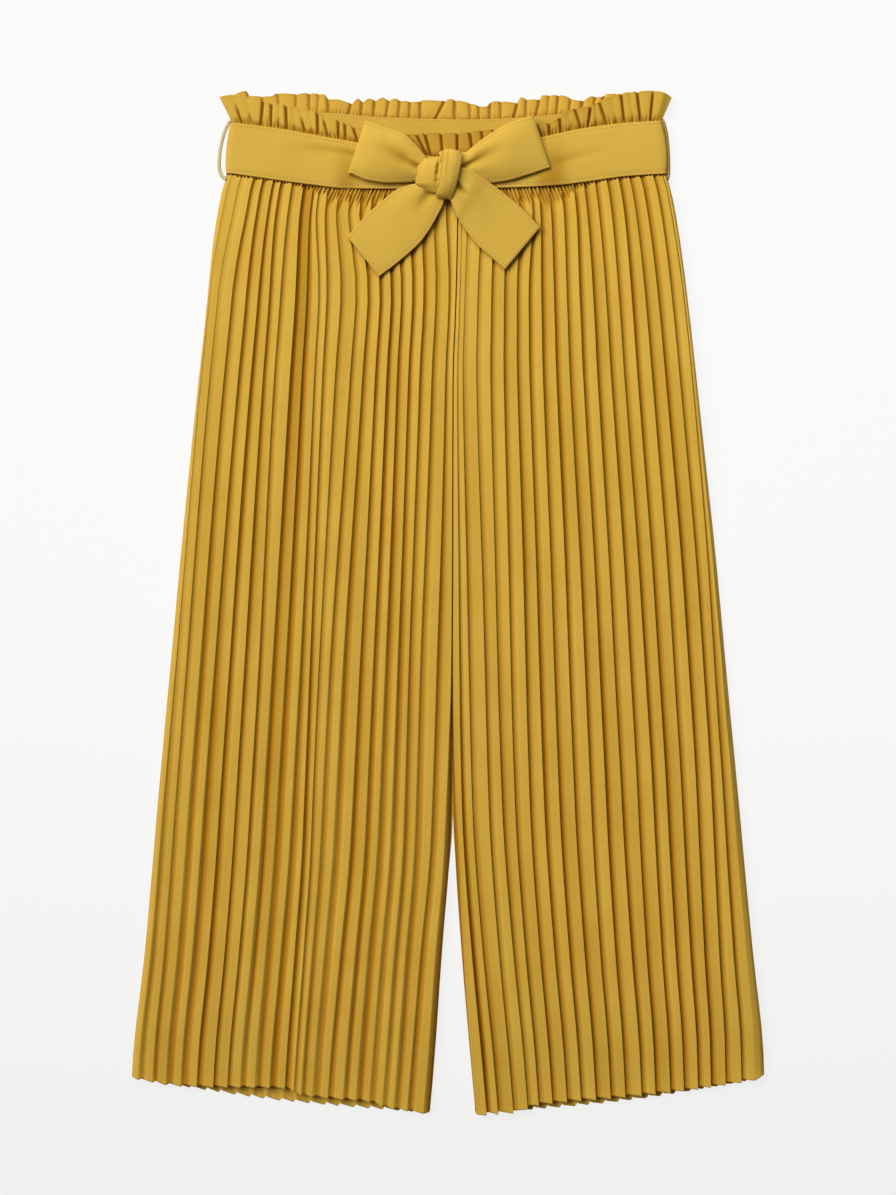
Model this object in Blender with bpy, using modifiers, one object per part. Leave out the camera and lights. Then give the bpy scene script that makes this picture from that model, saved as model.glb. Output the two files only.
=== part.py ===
"""Cropped palazzo pants with knife-pleated legs, a frilled paperbag waist and a tied belt.

The pants lie flat on a surface with the front up. +X runs across them, to the right as seen from the
front, +Y runs up to the waist, and +Z is up from the surface. The origin is the middle of the outline,
on the surface. Tables and sizes are in millimetres.
"""

import math
from collections import namedtuple

import bmesh
import bpy
from mathutils import Vector

MM = 0.001
MERGE = 0.05         # points nearer than this become one

# Cloth
LEG_WALL = 1.0
BELT_WALL = 1.2      # the belt is cloth folded double
GAP = 0.3            # between pieces at a seam

# Heights above the surface
BACK_GROOVE = 2.4    # how far a back pleat's fold line stands off the surface
BACK_EDGE = 3.0      # underside of a back panel at its side seam and inseam
FRONT_LOW = 5.6      # top of a front panel in the bottom of a fold
FRONT_EDGE = 5.3     # top of a front panel at its side seam and inseam
PLEAT_DEPTH = 3.0    # rise of a front pleat from its fold to its crest
WAIST_DEPTH = 2.2    # the same where the waist gathers the pleats
WAIST_LIFT = 1.5     # the belt's back stretch lifts the waist by this
LIFT_FROM = 262.0    # y where the lift starts
LIFT_TO = 298.0      # y where it is whole
BAND_LOW = 7.0       # top of the front casing between its puckers
PUCKER = 1.2         # height of a pucker in the casings
FACING_UNDER = 4.1   # underside of the inner facing
BELT_CROWN = 0.6     # how far the belt's middle stands proud of its edges
LOOP_UNDER = 10.7    # underside of a bow loop's lower layer
LOOP_TURN = 2.4      # how far a loop's fold reaches past its last section
LOOP_CROWN = 1.2     # how far a loop's upper layer bellies
TAIL_CROWN = 0.4
KNOT_UNDER = 10.6
KNOT_TOP = 25.0
BACK_WAIST_SHARE = 0.5    # share of its groove depth that a back pleat keeps at the waist

# Pleats
CREST_RUN = 1.9      # a pleat drops from its crest to the next fold over this width
CREST_SHARE = 0.35   # and over no more than this share of its width
FULL_PLEAT = 6.0     # a pleat narrower than this is shallower
BACK_PLEATS = 18     # on each back panel
GROOVE_HALF = 2.5    # half the mouth of a back pleat's groove
HEM_TOOTH = 1.0      # a crest reaches this much further down than its fold

# Waist
BAND_FOLDS = 24      # folds across a casing and its frill
FOLD_WANDER = 0.3    # how far a fold strays sideways, as a share of the space between folds
FOLD_DRIFT = 2.3     # step of the wave, in radians, that it strays by
FACING_HALF = 150.0
FACING_DEPTH = 36.0
THREAD_RADIUS = 1.1

# The knot: a ball, squashed to these half sizes and cut off flat below
KNOT_X = -6.1
KNOT_Y = 323.0
KNOT_HALF_WIDTH = 17.6
KNOT_HALF_LENGTH = 18.6
KNOT_CUT = 0.12      # how far below the ball's middle it is cut, as a share of its radius

SHARP_ANGLE = math.radians(35)    # edges sharper than this stay sharp in the shading

# The seam between casing and legs dips in the middle
SEAM_MIDDLE = 301.5
SEAM_RISE = 22.5
SEAM_HALF = 168.0

LEG_ROWS = (0.0, 0.07, 0.2, 0.4, 0.62, 0.84, 1.0)      # shares of a leg's length, from the waist
BACK_ROWS = (0.0, 0.07, 0.3, 0.62, 0.84, 1.0)

Outline = namedtuple("Outline", "y side_left inner_left inner_right side_right")
OUTLINE = (
    Outline(324.0, -168.0, 4.4, 4.7, 166.8),
    Outline(313.5, -171.4, 4.4, 4.7, 169.9),
    Outline(275.0, -178.2, 4.4, 4.7, 176.7),
    Outline(215.0, -184.3, 4.4, 4.7, 184.3),
    Outline(124.0, -194.2, 4.4, 4.7, 194.2),
    Outline(32.0, -203.3, 4.4, 4.7, 204.1),
    Outline(-74.0, -213.2, 4.4, 4.7, 213.9),
    Outline(-169.0, -221.9, 4.0, 4.7, 223.1),
    Outline(-272.0, -230.9, -4.9, 11.2, 233.0),
    Outline(-347.0, -239.5, -10.0, 17.6, 240.6),
    Outline(-388.0, -241.3, -13.6, 21.4, 241.3),
)

# Widths of the pleats across each front panel, from left to right, at four heights down the leg
PLEAT_HEIGHTS = (294.5, 230.0, -74.0, -347.7)
Pleat = namedtuple("Pleat", "waist hip knee hem")
LEFT_PLEATS = (
    Pleat(3.8, 1.6, 5.3, 7.6),
    Pleat(7.6, 6.0, 8.4, 10.6),
    Pleat(9.9, 10.6, 11.4, 11.4),
    Pleat(7.6, 10.6, 10.6, 10.6),
    Pleat(8.4, 9.1, 10.6, 10.6),
    Pleat(6.1, 8.4, 11.4, 12.2),
    Pleat(9.1, 8.4, 11.4, 11.4),
    Pleat(9.1, 11.4, 11.4, 11.4),
    Pleat(7.6, 8.4, 10.6, 11.4),
    Pleat(4.6, 9.1, 10.6, 10.6),
    Pleat(6.8, 6.1, 6.8, 10.6),
    Pleat(8.4, 10.6, 6.8, 6.8),
    Pleat(9.1, 11.4, 9.1, 6.8),
    Pleat(8.4, 9.1, 10.6, 9.9),
    Pleat(8.4, 9.1, 12.2, 10.6),
    Pleat(9.1, 8.4, 10.6, 12.2),
    Pleat(9.5, 7.6, 9.9, 10.6),
    Pleat(9.5, 8.4, 9.1, 9.9),
    Pleat(9.5, 8.4, 8.4, 9.9),
    Pleat(9.5, 9.1, 9.1, 9.1),
    Pleat(9.5, 9.9, 12.2, 9.9),
    Pleat(9.1, 5.7, 11.0, 15.2),
)
RIGHT_PLEATS = (
    Pleat(1.6, 1.6, 3.0, 9.9),
    Pleat(4.6, 3.8, 7.6, 9.1),
    Pleat(10.6, 9.9, 12.2, 11.4),
    Pleat(9.9, 10.6, 9.9, 11.4),
    Pleat(9.9, 9.9, 9.9, 8.4),
    Pleat(10.6, 9.9, 11.4, 10.6),
    Pleat(9.9, 9.1, 10.6, 11.4),
    Pleat(6.1, 9.9, 11.4, 10.6),
    Pleat(8.4, 9.9, 11.4, 11.4),
    Pleat(9.9, 9.9, 12.2, 11.4),
    Pleat(9.9, 9.9, 11.4, 11.4),
    Pleat(8.4, 10.6, 11.4, 12.2),
    Pleat(9.1, 9.9, 12.2, 10.6),
    Pleat(9.9, 9.9, 11.4, 11.4),
    Pleat(9.9, 9.9, 10.6, 10.6),
    Pleat(9.1, 10.6, 11.4, 10.6),
    Pleat(9.1, 9.9, 11.4, 9.9),
    Pleat(10.6, 10.6, 11.4, 11.4),
    Pleat(7.6, 9.0, 8.4, 12.2),
    Pleat(2.3, 1.6, 7.6, 10.6),
    Pleat(1.6, 1.6, 1.6, 6.1),
)

# Lines across the garment: where each passes
Point = namedtuple("Point", "x y")
FRONT_HEM_LEFT = (
    Point(-241.3, -360.0), Point(-202.0, -366.2), Point(-123.0, -368.0),
    Point(-112.0, -374.0), Point(-58.0, -378.5), Point(-48.0, -382.5), Point(-14.0, -387.5),
)
FRONT_HEM_RIGHT = (
    Point(21.0, -387.5), Point(50.0, -386.5), Point(70.0, -379.5), Point(135.0, -373.5),
    Point(190.0, -367.5), Point(241.3, -359.0),
)
BACK_HEM_LEFT = (
    Point(-241.3, -359.0), Point(-184.0, -369.0), Point(-126.0, -377.0), Point(-14.0, -386.5),
)
BACK_HEM_RIGHT = (
    Point(21.0, -386.5), Point(67.0, -382.5), Point(137.0, -375.5), Point(241.3, -360.5),
)
FRONT_FRILL = (
    Point(-173.2, 384.5), Point(-141.0, 382.5), Point(-118.0, 374.5), Point(-82.0, 368.5),
    Point(-34.0, 356.0), Point(7.0, 356.5), Point(38.0, 360.0), Point(78.0, 365.0),
    Point(95.0, 375.0), Point(112.0, 378.5), Point(137.0, 386.5), Point(155.0, 388.0), Point(170.6, 384.5),
)
BACK_FRILL = (
    Point(-173.2, 385.5), Point(-159.0, 388.7), Point(-94.0, 387.0), Point(-76.0, 382.5),
    Point(0.0, 382.0), Point(42.0, 381.0), Point(78.0, 386.0), Point(128.0, 387.0),
    Point(161.0, 388.7), Point(170.6, 385.5),
)
BACK_STITCH = (
    Point(-173.2, 368.5), Point(-96.0, 371.0), Point(-45.0, 367.5), Point(16.0, 366.0),
    Point(86.0, 370.0), Point(170.6, 368.5),
)
FRONT_STITCH = (
    Point(-173.2, 365.5), Point(-131.0, 361.5), Point(-71.0, 350.5), Point(-6.0, 338.5),
    Point(73.0, 354.5), Point(137.0, 365.0), Point(170.6, 367.0),
)

# Rows of a waistband, from its seam up: the row's ends, the tops of its low and high folds and of its
# side edges, and how far up it lies from the stitch line to the frill's free edge. The first is the seam
BandRow = namedtuple("BandRow", "left right low high edge reach")
FRONT_BAND = (
    BandRow(-163.4, 162.4, BAND_LOW, BAND_LOW + PUCKER, 6.0, None),
    BandRow(-160.6, 159.2, BAND_LOW, BAND_LOW + PUCKER, 6.0, 0.0),
    BandRow(-165.4, 164.0, 6.9, 9.4, 6.2, 0.45),
    BandRow(-173.2, 170.6, 6.8, 10.2, 6.4, 1.0),
)
BACK_BAND = (
    BandRow(-163.4, 162.4, WAIST_LIFT, WAIST_LIFT + PUCKER, 3.6, None),
    BandRow(-160.6, 159.2, WAIST_LIFT, WAIST_LIFT + PUCKER, 3.6, 0.0),
    BandRow(-165.4, 164.0, 0.0, 3.2, 3.6, 0.45),
    BandRow(-173.2, 170.6, 0.0, 3.8, 3.8, 1.0),
)

# Sections across the belt's stretches: the ends of each section and the height of its top face
Section = namedtuple("Section", "x1 y1 x2 y2 z")
BELT_LEFT = (
    Section(-164.6, 364.0, -168.0, 326.0, 6.6),
    Section(-164.2, 364.2, -167.4, 326.0, 8.6),
    Section(-161.5, 364.4, -165.0, 326.0, 9.75),
    Section(-131.0, 360.6, -138.0, 322.2, 9.75),
    Section(-100.0, 355.0, -106.0, 317.8, 9.75),
    Section(-71.0, 350.0, -75.0, 314.6, 9.75),
    Section(-40.0, 344.0, -41.0, 314.4, 9.75),
    Section(-6.2, 338.0, -6.2, 316.0, 9.75),
)
BELT_RIGHT = (
    Section(-5.9, 338.0, -5.9, 316.0, 9.75),
    Section(30.0, 346.0, 30.0, 315.0, 9.75),
    Section(73.0, 354.0, 78.0, 316.6, 9.75),
    Section(104.5, 360.6, 104.5, 319.6, 9.75),
    Section(137.2, 364.6, 137.2, 324.0, 9.75),
    Section(160.0, 366.0, 163.0, 325.6, 9.75),
    Section(162.6, 366.0, 166.2, 325.8, 8.6),
    Section(162.9, 366.0, 166.8, 325.8, 6.6),
)
BELT_BACK = (
    Section(-164.6, 364.0, -168.0, 326.0, 5.9),
    Section(-164.2, 364.2, -167.4, 326.0, 2.6),
    Section(-161.5, 364.4, -165.0, 326.0, 0.0),
    Section(159.6, 366.0, 163.0, 325.6, 0.0),
    Section(162.4, 366.0, 166.2, 325.8, 2.6),
    Section(162.9, 366.0, 166.8, 325.8, 5.9),
)
TAIL_LEFT = (
    Section(-27.0, 314.4, -7.6, 300.6, 11.9),
    Section(-39.0, 312.0, -4.0, 294.0, 11.6),
    Section(-56.0, 299.0, -12.0, 284.0, 11.1),
    Section(-76.0, 277.8, -51.5, 248.6, 10.3),
)
TAIL_RIGHT = (
    Section(7.0, 304.0, 14.4, 325.0, 11.9),
    Section(9.0, 291.0, 33.5, 318.0, 11.6),
    Section(18.0, 276.0, 52.0, 304.6, 11.1),
    Section(43.8, 252.8, 70.6, 285.4, 10.3),
)
LOOP_LEFT = (
    Section(-24.8, 342.8, -25.2, 321.0, 17.4),
    Section(-34.0, 355.6, -40.0, 318.6, 18.0),
    Section(-47.0, 360.8, -60.0, 320.4, 17.4),
    Section(-60.4, 365.0, -73.6, 325.8, 16.2),
)
LOOP_RIGHT = (
    Section(13.0, 337.6, 13.0, 326.4, 17.4),
    Section(23.0, 346.4, 25.6, 323.2, 18.0),
    Section(42.0, 361.2, 48.0, 320.8, 17.6),
    Section(63.6, 368.4, 76.6, 330.4, 16.2),
)

# The thread loops' routes, down the side seams
Step = namedtuple("Step", "x y z")
THREAD_LEFT = (
    Step(-163.4, 368.0, 5.4), Step(-166.6, 365.6, 5.4), Step(-169.6, 358.0, 5.4), Step(-172.2, 349.0, 5.4),
    Step(-174.0, 340.0, 5.4), Step(-174.3, 332.0, 5.4), Step(-172.6, 325.5, 5.4), Step(-170.3, 321.8, 5.4),
)
THREAD_RIGHT = (
    Step(161.4, 368.6, 5.4), Step(164.6, 366.8, 5.4), Step(167.6, 358.0, 5.4), Step(169.2, 349.0, 5.4),
    Step(170.2, 340.0, 5.4), Step(170.4, 332.0, 5.4), Step(170.0, 326.0, 5.4), Step(169.0, 321.8, 5.4),
)


def table_value(table, at, key, value):
    """The value of a table's column where its key column is `at`, straight between rows."""
    rows = sorted(table, key=lambda row: getattr(row, key))
    at = min(max(at, getattr(rows[0], key)), getattr(rows[-1], key))
    for low, high in zip(rows, rows[1:]):
        start, end = getattr(low, key), getattr(high, key)
        if at <= end:
            share = (at - start) / (end - start)
            return getattr(low, value) * (1 - share) + getattr(high, value) * share
    return getattr(rows[-1], value)


def line_y(line, x):
    return table_value(line, x, "x", "y")


def seam_y(x):
    """Where the legs are sewn to the casing."""
    return SEAM_MIDDLE + SEAM_RISE * (x / SEAM_HALF) ** 2


def edge_x(y, side):
    return table_value(OUTLINE, y, "y", side)


def meeting_y(line, x_at):
    """The height where a fold line, whose x at any height is `x_at(y)`, meets a line across the garment."""
    y = line(0.0)
    for _ in range(6):
        y = line(x_at(y))
    return y


def smooth_step(share):
    share = min(max(share, 0.0), 1.0)
    return share * share * (3 - 2 * share)


def lift(y):
    """How far the belt's back stretch lifts the cloth above it."""
    return WAIST_LIFT * smooth_step((y - LIFT_FROM) / (LIFT_TO - LIFT_FROM))


def cloth_material(name, colour, roughness):
    material = bpy.data.materials.new(name)
    material.use_nodes = True
    shader = material.node_tree.nodes["Principled BSDF"]
    shader.inputs["Base Color"].default_value = (*colour, 1.0)
    shader.inputs["Roughness"].default_value = roughness
    shader.inputs["Metallic"].default_value = 0.0
    return material


def finish_object(name, mesh, material, collection):
    mesh.materials.append(material)
    mesh.shade_smooth()
    mesh.set_sharp_from_angle(angle=SHARP_ANGLE)
    piece = bpy.data.objects.new(name, mesh)
    collection.objects.link(piece)
    return piece


def cloth_sheet(name, columns, rows, place, wall, material, collection, grows_up=False):
    """A sheet of cloth: a grid whose points `place(column, row)` puts in millimetres, given a wall.

    The grid is the cloth's upper face, or its under face where the wall grows up from it.
    """
    grid = bmesh.new()
    across, along = len(columns) - 1, len(rows) - 1
    bmesh.ops.create_grid(grid, x_segments=across, y_segments=along, size=0.5)
    for vert in grid.verts:
        column = columns[round((vert.co.x + 0.5) * across)]
        row = rows[round((vert.co.y + 0.5) * along)]
        vert.co = Vector(place(column, row)) * MM
    grid.normal_update()
    if max(grid.faces, key=lambda face: face.calc_center_median().z).normal.z < 0:
        bmesh.ops.reverse_faces(grid, faces=grid.faces)
    mesh = bpy.data.meshes.new(name)
    grid.to_mesh(mesh)
    grid.free()
    piece = finish_object(name, mesh, material, collection)
    solidify = piece.modifiers.new("Wall", "SOLIDIFY")
    solidify.thickness = wall * MM
    solidify.offset = 1.0 if grows_up else -1.0
    solidify.use_even_offset = True
    return piece


def pleat_lines(pleats):
    """Each fold line's share of the panel's width, at each of the four heights."""
    lines = []
    for height in Pleat._fields:
        widths = [getattr(pleat, height) for pleat in pleats]
        whole = sum(widths)
        lines.append([sum(widths[:count]) / whole for count in range(len(widths) + 1)])
    return lines


def line_share(lines, index, y):
    """A fold line's share of the width at any height."""
    if y >= PLEAT_HEIGHTS[0]:
        return lines[0][index]
    for step in range(len(PLEAT_HEIGHTS) - 1):
        upper, lower = PLEAT_HEIGHTS[step], PLEAT_HEIGHTS[step + 1]
        if y >= lower:
            share = (upper - y) / (upper - lower)
            return lines[step][index] * (1 - share) + lines[step + 1][index] * share
    return lines[-1][index]


def front_leg(name, sides, pleats, hem, material, collection):
    """A front panel: each pleat rises from its fold line to a crest and drops to the next fold."""
    left, right = sides
    lines = pleat_lines(pleats)
    last = len(pleats)
    columns = [("edge", 0)]
    for index in range(1, last):
        columns += [("crest", index), ("fold", index)]
    columns += [("crest", last), ("edge", last)]

    def across(column, y):
        kind, index = column
        x0, x1 = edge_x(y, left), edge_x(y, right)
        x = x0 + (x1 - x0) * line_share(lines, index, y)
        before = x0 + (x1 - x0) * line_share(lines, max(index - 1, 0), y)
        width = x - before
        if kind == "crest":
            x -= min(CREST_RUN, CREST_SHARE * width)
        return x, width

    def place(column, row):
        kind, _ = column
        top = meeting_y(seam_y, lambda y: across(column, y)[0]) - GAP / 2
        bottom = meeting_y(lambda x: line_y(hem, x), lambda y: across(column, y)[0])
        if kind == "crest":
            bottom -= HEM_TOOTH
        y = top + (bottom - top) * row
        x, width = across(column, y)
        if kind == "edge":
            return x, y, FRONT_EDGE + lift(y)
        z = FRONT_LOW + lift(y)
        if kind == "crest":
            depth = PLEAT_DEPTH + (WAIST_DEPTH - PLEAT_DEPTH) * lift(y) / WAIST_LIFT
            z += depth * min(1.0, width / FULL_PLEAT) ** 2
        return x, y, z

    return cloth_sheet(name, columns, LEG_ROWS, place, LEG_WALL, material, collection)


def back_leg(name, sides, hem, material, collection):
    """A back panel: flat pleats that lie on the surface, with a groove at each fold line."""
    left, right = sides
    columns = [("edge", 0)]
    for index in range(1, BACK_PLEATS):
        columns += [("before", index), ("fold", index), ("after", index)]
    columns.append(("edge", BACK_PLEATS))

    def across(column, y):
        kind, index = column
        x0, x1 = edge_x(y, left), edge_x(y, right)
        x = x0 + (x1 - x0) * index / BACK_PLEATS
        return x + GROOVE_HALF * {"before": -1, "after": 1}.get(kind, 0)

    def place(column, row):
        kind, _ = column
        top = meeting_y(seam_y, lambda y: across(column, y)) - GAP / 2
        bottom = meeting_y(lambda x: line_y(hem, x), lambda y: across(column, y))
        if kind != "fold":
            bottom -= HEM_TOOTH
        y = top + (bottom - top) * row
        z = {"edge": BACK_EDGE, "fold": BACK_GROOVE}.get(kind, 0.0)
        if kind != "edge":
            z *= 1 - (1 - BACK_WAIST_SHARE) * lift(y) / WAIST_LIFT
        return across(column, y), y, z + lift(y)

    return cloth_sheet(name, columns, BACK_ROWS, place, LEG_WALL, material, collection, grows_up=True)


def waistband(name, rows, stitch, frill, material, collection, grows_up=False):
    """A casing and its frill in one strip, folded up and down across its width."""
    steps = 2 * BAND_FOLDS

    def place(step, band):
        at_side = step in (0, steps)
        wander = 0.0 if at_side else FOLD_WANDER * math.sin(FOLD_DRIFT * step)
        x = band.left + (band.right - band.left) * (step + wander) / steps
        z = band.high if step % 2 else band.low
        if at_side:
            z = band.edge
        if band.reach is None:
            return x, seam_y(x) + GAP / 2, z
        return x, line_y(stitch, x) * (1 - band.reach) + line_y(frill, x) * band.reach, z

    return cloth_sheet(name, range(steps + 1), rows, place, LEG_WALL, material, collection, grows_up)


def waist_facing(material, collection):
    """The smooth inner layer of the back casing, below the frill's stitch line."""
    columns = [FACING_HALF * (count / 5 - 1) for count in range(11)]

    def place(column, row):
        y = line_y(BACK_STITCH, column) - row * FACING_DEPTH
        return column, y, FACING_UNDER

    return cloth_sheet(
        "waist_facing", columns, (0.0, 1.0), place, LEG_WALL, material, collection, grows_up=True
    )


def section_point(section, share, z):
    """A point across a section, at a height."""
    x = section.x1 + (section.x2 - section.x1) * share
    y = section.y1 + (section.y2 - section.y1) * share
    return x, y, z


def across_shares(count):
    return [step / count for step in range(count + 1)]


def belt_strip(name, sections, crown, material, collection):
    """A strip of belt lofted through sections, a little higher along its middle."""

    def place(share, row):
        section = sections[row]
        return section_point(section, share, section.z + crown * 4 * share * (1 - share))

    rows = range(len(sections))
    return cloth_sheet(name, across_shares(3), rows, place, BELT_WALL, material, collection)


def belt_back(material, collection):
    """The belt's stretch behind the waist, flat on the surface and turned up at the side seams."""

    def place(share, row):
        section = BELT_BACK[row]
        return section_point(section, share, section.z)

    rows = range(len(BELT_BACK))
    return cloth_sheet(
        "belt_back", across_shares(1), rows, place, BELT_WALL, material, collection, grows_up=True
    )


def bow_loop(name, sections, material, collection):
    """A loop of the bow: the strip runs out from the knot, folds over at its end and comes back."""
    end = sections[-1]
    turn = math.copysign(LOOP_TURN, end.x1)
    middle = (end.z + LOOP_UNDER) / 2
    fold = end._replace(x1=end.x1 + turn, x2=end.x2 + turn)
    path = [(section, section.z, LOOP_CROWN) for section in sections]
    path.append((fold, middle, 0.0))
    path += [(section, LOOP_UNDER, 0.0) for section in reversed(sections)]

    def place(share, row):
        section, z, crown = path[row]
        return section_point(section, share, z + crown * 4 * share * (1 - share))

    return cloth_sheet(name, across_shares(4), range(len(path)), place, BELT_WALL, material, collection)


def bow_knot(material, collection):
    """The knot: a rounded lump, flat underneath where it sits on the belt."""
    height = KNOT_TOP - KNOT_UNDER
    sphere = bmesh.new()
    bmesh.ops.create_uvsphere(sphere, u_segments=20, v_segments=12, radius=1.0)
    for vert in sphere.verts:
        x, y, z = vert.co
        above_cut = max(z, -KNOT_CUT) + KNOT_CUT
        vert.co.x = (KNOT_X + x * KNOT_HALF_WIDTH) * MM
        vert.co.y = (KNOT_Y + y * KNOT_HALF_LENGTH) * MM
        vert.co.z = (KNOT_UNDER + above_cut / (1 + KNOT_CUT) * height) * MM
    bmesh.ops.remove_doubles(sphere, verts=sphere.verts, dist=MERGE * MM)
    bmesh.ops.recalc_face_normals(sphere, faces=sphere.faces)
    mesh = bpy.data.meshes.new("bow_knot")
    sphere.to_mesh(mesh)
    sphere.free()
    return finish_object("bow_knot", mesh, material, collection)


def thread_loop(name, route, material, collection):
    """A thread loop at a side seam, a round cord through its route's points."""
    curve = bpy.data.curves.new(name, "CURVE")
    curve.dimensions = "3D"
    curve.bevel_depth = THREAD_RADIUS * MM
    curve.bevel_resolution = 2
    curve.use_fill_caps = True
    spline = curve.splines.new("POLY")
    spline.points.add(len(route) - 1)
    for point, place in zip(spline.points, route):
        point.co = (*(Vector(place) * MM), 1.0)
    curve.materials.append(material)
    piece = bpy.data.objects.new(name, curve)
    collection.objects.link(piece)
    return piece


def main():
    for item in list(bpy.data.objects):
        bpy.data.objects.remove(item)
    pants = bpy.data.collections.new("palazzo_pants")
    bpy.context.scene.collection.children.link(pants)

    pleated = cloth_material("pleated_cloth", (0.64, 0.37, 0.055), 0.75)
    plain = cloth_material("belt_cloth", (0.67, 0.39, 0.055), 0.72)
    thread = cloth_material("loop_thread", (0.62, 0.45, 0.18), 0.8)

    left, right = ("side_left", "inner_left"), ("inner_right", "side_right")
    front_leg("front_leg_left", left, LEFT_PLEATS, FRONT_HEM_LEFT, pleated, pants)
    front_leg("front_leg_right", right, RIGHT_PLEATS, FRONT_HEM_RIGHT, pleated, pants)
    back_leg("back_leg_left", left, BACK_HEM_LEFT, pleated, pants)
    back_leg("back_leg_right", right, BACK_HEM_RIGHT, pleated, pants)

    waistband("waistband_front", FRONT_BAND, FRONT_STITCH, FRONT_FRILL, pleated, pants)
    waistband("waistband_back", BACK_BAND, BACK_STITCH, BACK_FRILL, pleated, pants, grows_up=True)
    waist_facing(plain, pants)

    belt_strip("belt_front_left", BELT_LEFT, BELT_CROWN, plain, pants)
    belt_strip("belt_front_right", BELT_RIGHT, BELT_CROWN, plain, pants)
    belt_back(plain, pants)
    bow_loop("bow_loop_left", LOOP_LEFT, plain, pants)
    bow_loop("bow_loop_right", LOOP_RIGHT, plain, pants)
    belt_strip("bow_tail_left", TAIL_LEFT, TAIL_CROWN, plain, pants)
    belt_strip("bow_tail_right", TAIL_RIGHT, TAIL_CROWN, plain, pants)
    bow_knot(plain, pants)
    thread_loop("belt_loop_left", THREAD_LEFT, thread, pants)
    thread_loop("belt_loop_right", THREAD_RIGHT, thread, pants)


main()
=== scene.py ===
# %% [markdown]
# # Pleated palazzo pants, laid flat
# These are cropped, very wide trousers. The cloth of the legs is folded into sharp pleats and heated, so
# that the folds stay. The waist is an elastic casing with a frill above it, and a tie belt runs round it.
# The pants lie on their back on a pale table, and the camera looks straight down at them.
#
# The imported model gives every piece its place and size. Here each plain panel is replaced by a thin
# shell of cloth with its real folds. All tables are in millimetres: +X runs to the right across the
# pants, +Y up to the waist, and +Z up from the table.

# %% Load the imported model
import math
import random
from bisect import bisect_right
from collections import namedtuple

import bmesh
import bpy
from mathutils import Matrix, Vector


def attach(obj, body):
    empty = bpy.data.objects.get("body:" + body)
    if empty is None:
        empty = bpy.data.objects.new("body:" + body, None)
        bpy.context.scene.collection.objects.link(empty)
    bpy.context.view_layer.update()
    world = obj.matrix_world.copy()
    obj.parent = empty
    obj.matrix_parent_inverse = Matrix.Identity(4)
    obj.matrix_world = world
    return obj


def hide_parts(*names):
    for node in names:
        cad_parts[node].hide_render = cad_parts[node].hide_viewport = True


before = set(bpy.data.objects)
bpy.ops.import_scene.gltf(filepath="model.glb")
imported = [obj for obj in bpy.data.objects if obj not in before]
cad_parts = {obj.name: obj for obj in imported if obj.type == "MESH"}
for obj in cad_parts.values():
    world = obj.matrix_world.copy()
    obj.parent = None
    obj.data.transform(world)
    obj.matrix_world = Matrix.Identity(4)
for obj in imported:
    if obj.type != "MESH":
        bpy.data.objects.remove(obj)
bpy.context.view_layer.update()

MM = 0.001

# %% [markdown]
# ## The camera
# A catalogue picture of clothes is taken from straight above with a long lens, so that the hems look no
# smaller than the waist. A long lens far away does that here. The belt gives the scale of the picture:
# it is 40 mm wide and 52 pixels wide, so a pixel is about 0.76 mm.

# %% Place the camera
PHOTO_HEIGHT = 1195      # pixels
PIXEL = 0.76             # millimetres of cloth in a pixel
PHOTO_MIDDLE = (0.4, 3.8)    # the camera looks down at this place
LEG_TOP = 9              # and the scale holds at this height, on the pleats
LENS, SENSOR = 135, 36
FARTHEST = 50            # metres that the camera sees

camera_data = bpy.data.cameras.new("camera")
camera_data.lens = LENS
camera_data.sensor_width = SENSOR
camera = bpy.data.objects.new("camera", camera_data)
bpy.context.scene.collection.objects.link(camera)
distance = PHOTO_HEIGHT * PIXEL * LENS / SENSOR
camera.location = Vector((*PHOTO_MIDDLE, distance + LEG_TOP)) * MM
camera_data.clip_end = FARTHEST
bpy.context.scene.camera = camera
print("camera height, m:", round(camera.location.z, 2))

# %% [markdown]
# ## Table and light
# The table is dark under a painted white glow, so the shadows on it stay weak, and the glow fades a
# little towards the bottom: painted falloff. A low soft lamp far off at the upper left gives every
# pleat a lit flat and a shaded fold: a near lamp would light the left leg more than the right. A panel
# past the waist makes the waist a little brighter than the hems, and the pale room fills the shadows.
# The camera doesn't see the lamps.

# %% Make the table and the lamps
FLOOR_DROP = 0.4         # the table is this far below the cloth
FLOOR_SIZE = 60.0        # metres
TABLE_TINT = (0.085, 0.085, 0.084, 1)
TABLE_GLOW = (1.0, 1.0, 0.995, 1)
PAINTED_TABLE_FALLOFF = (-0.42, 0.0, 0.805, 0.868)    # y in metres from and to, and the table's painted glow there, dimmer towards the bottom

KEY_FROM = Vector((-0.74, 0.42, 0.82))
KEY_STRENGTH = 2.5
KEY_SPREAD = math.radians(38)
KEY_TINT = (1.0, 0.95, 0.90)
PANEL_AT = Vector((-0.1, 1.1, 1.0))
PANEL_SIZE = 0.7
PANEL_POWER = 9.4
PANEL_AIM = Vector((0.0, 0.2, 0.0))
PANEL_TINT = (0.96, 1.0, 1.0)
ROOM_LIGHT = 0.10
ROOM_TINT = (1.0, 0.995, 0.98, 1)


def set_inputs(node, **values):
    """Sets a node's sockets. Their names are given in small letters, with _ for a space."""
    for socket in node.inputs:
        name = socket.name.lower().replace(" ", "_")
        if name in values:
            socket.default_value = values.pop(name)
    assert not values, values


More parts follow.
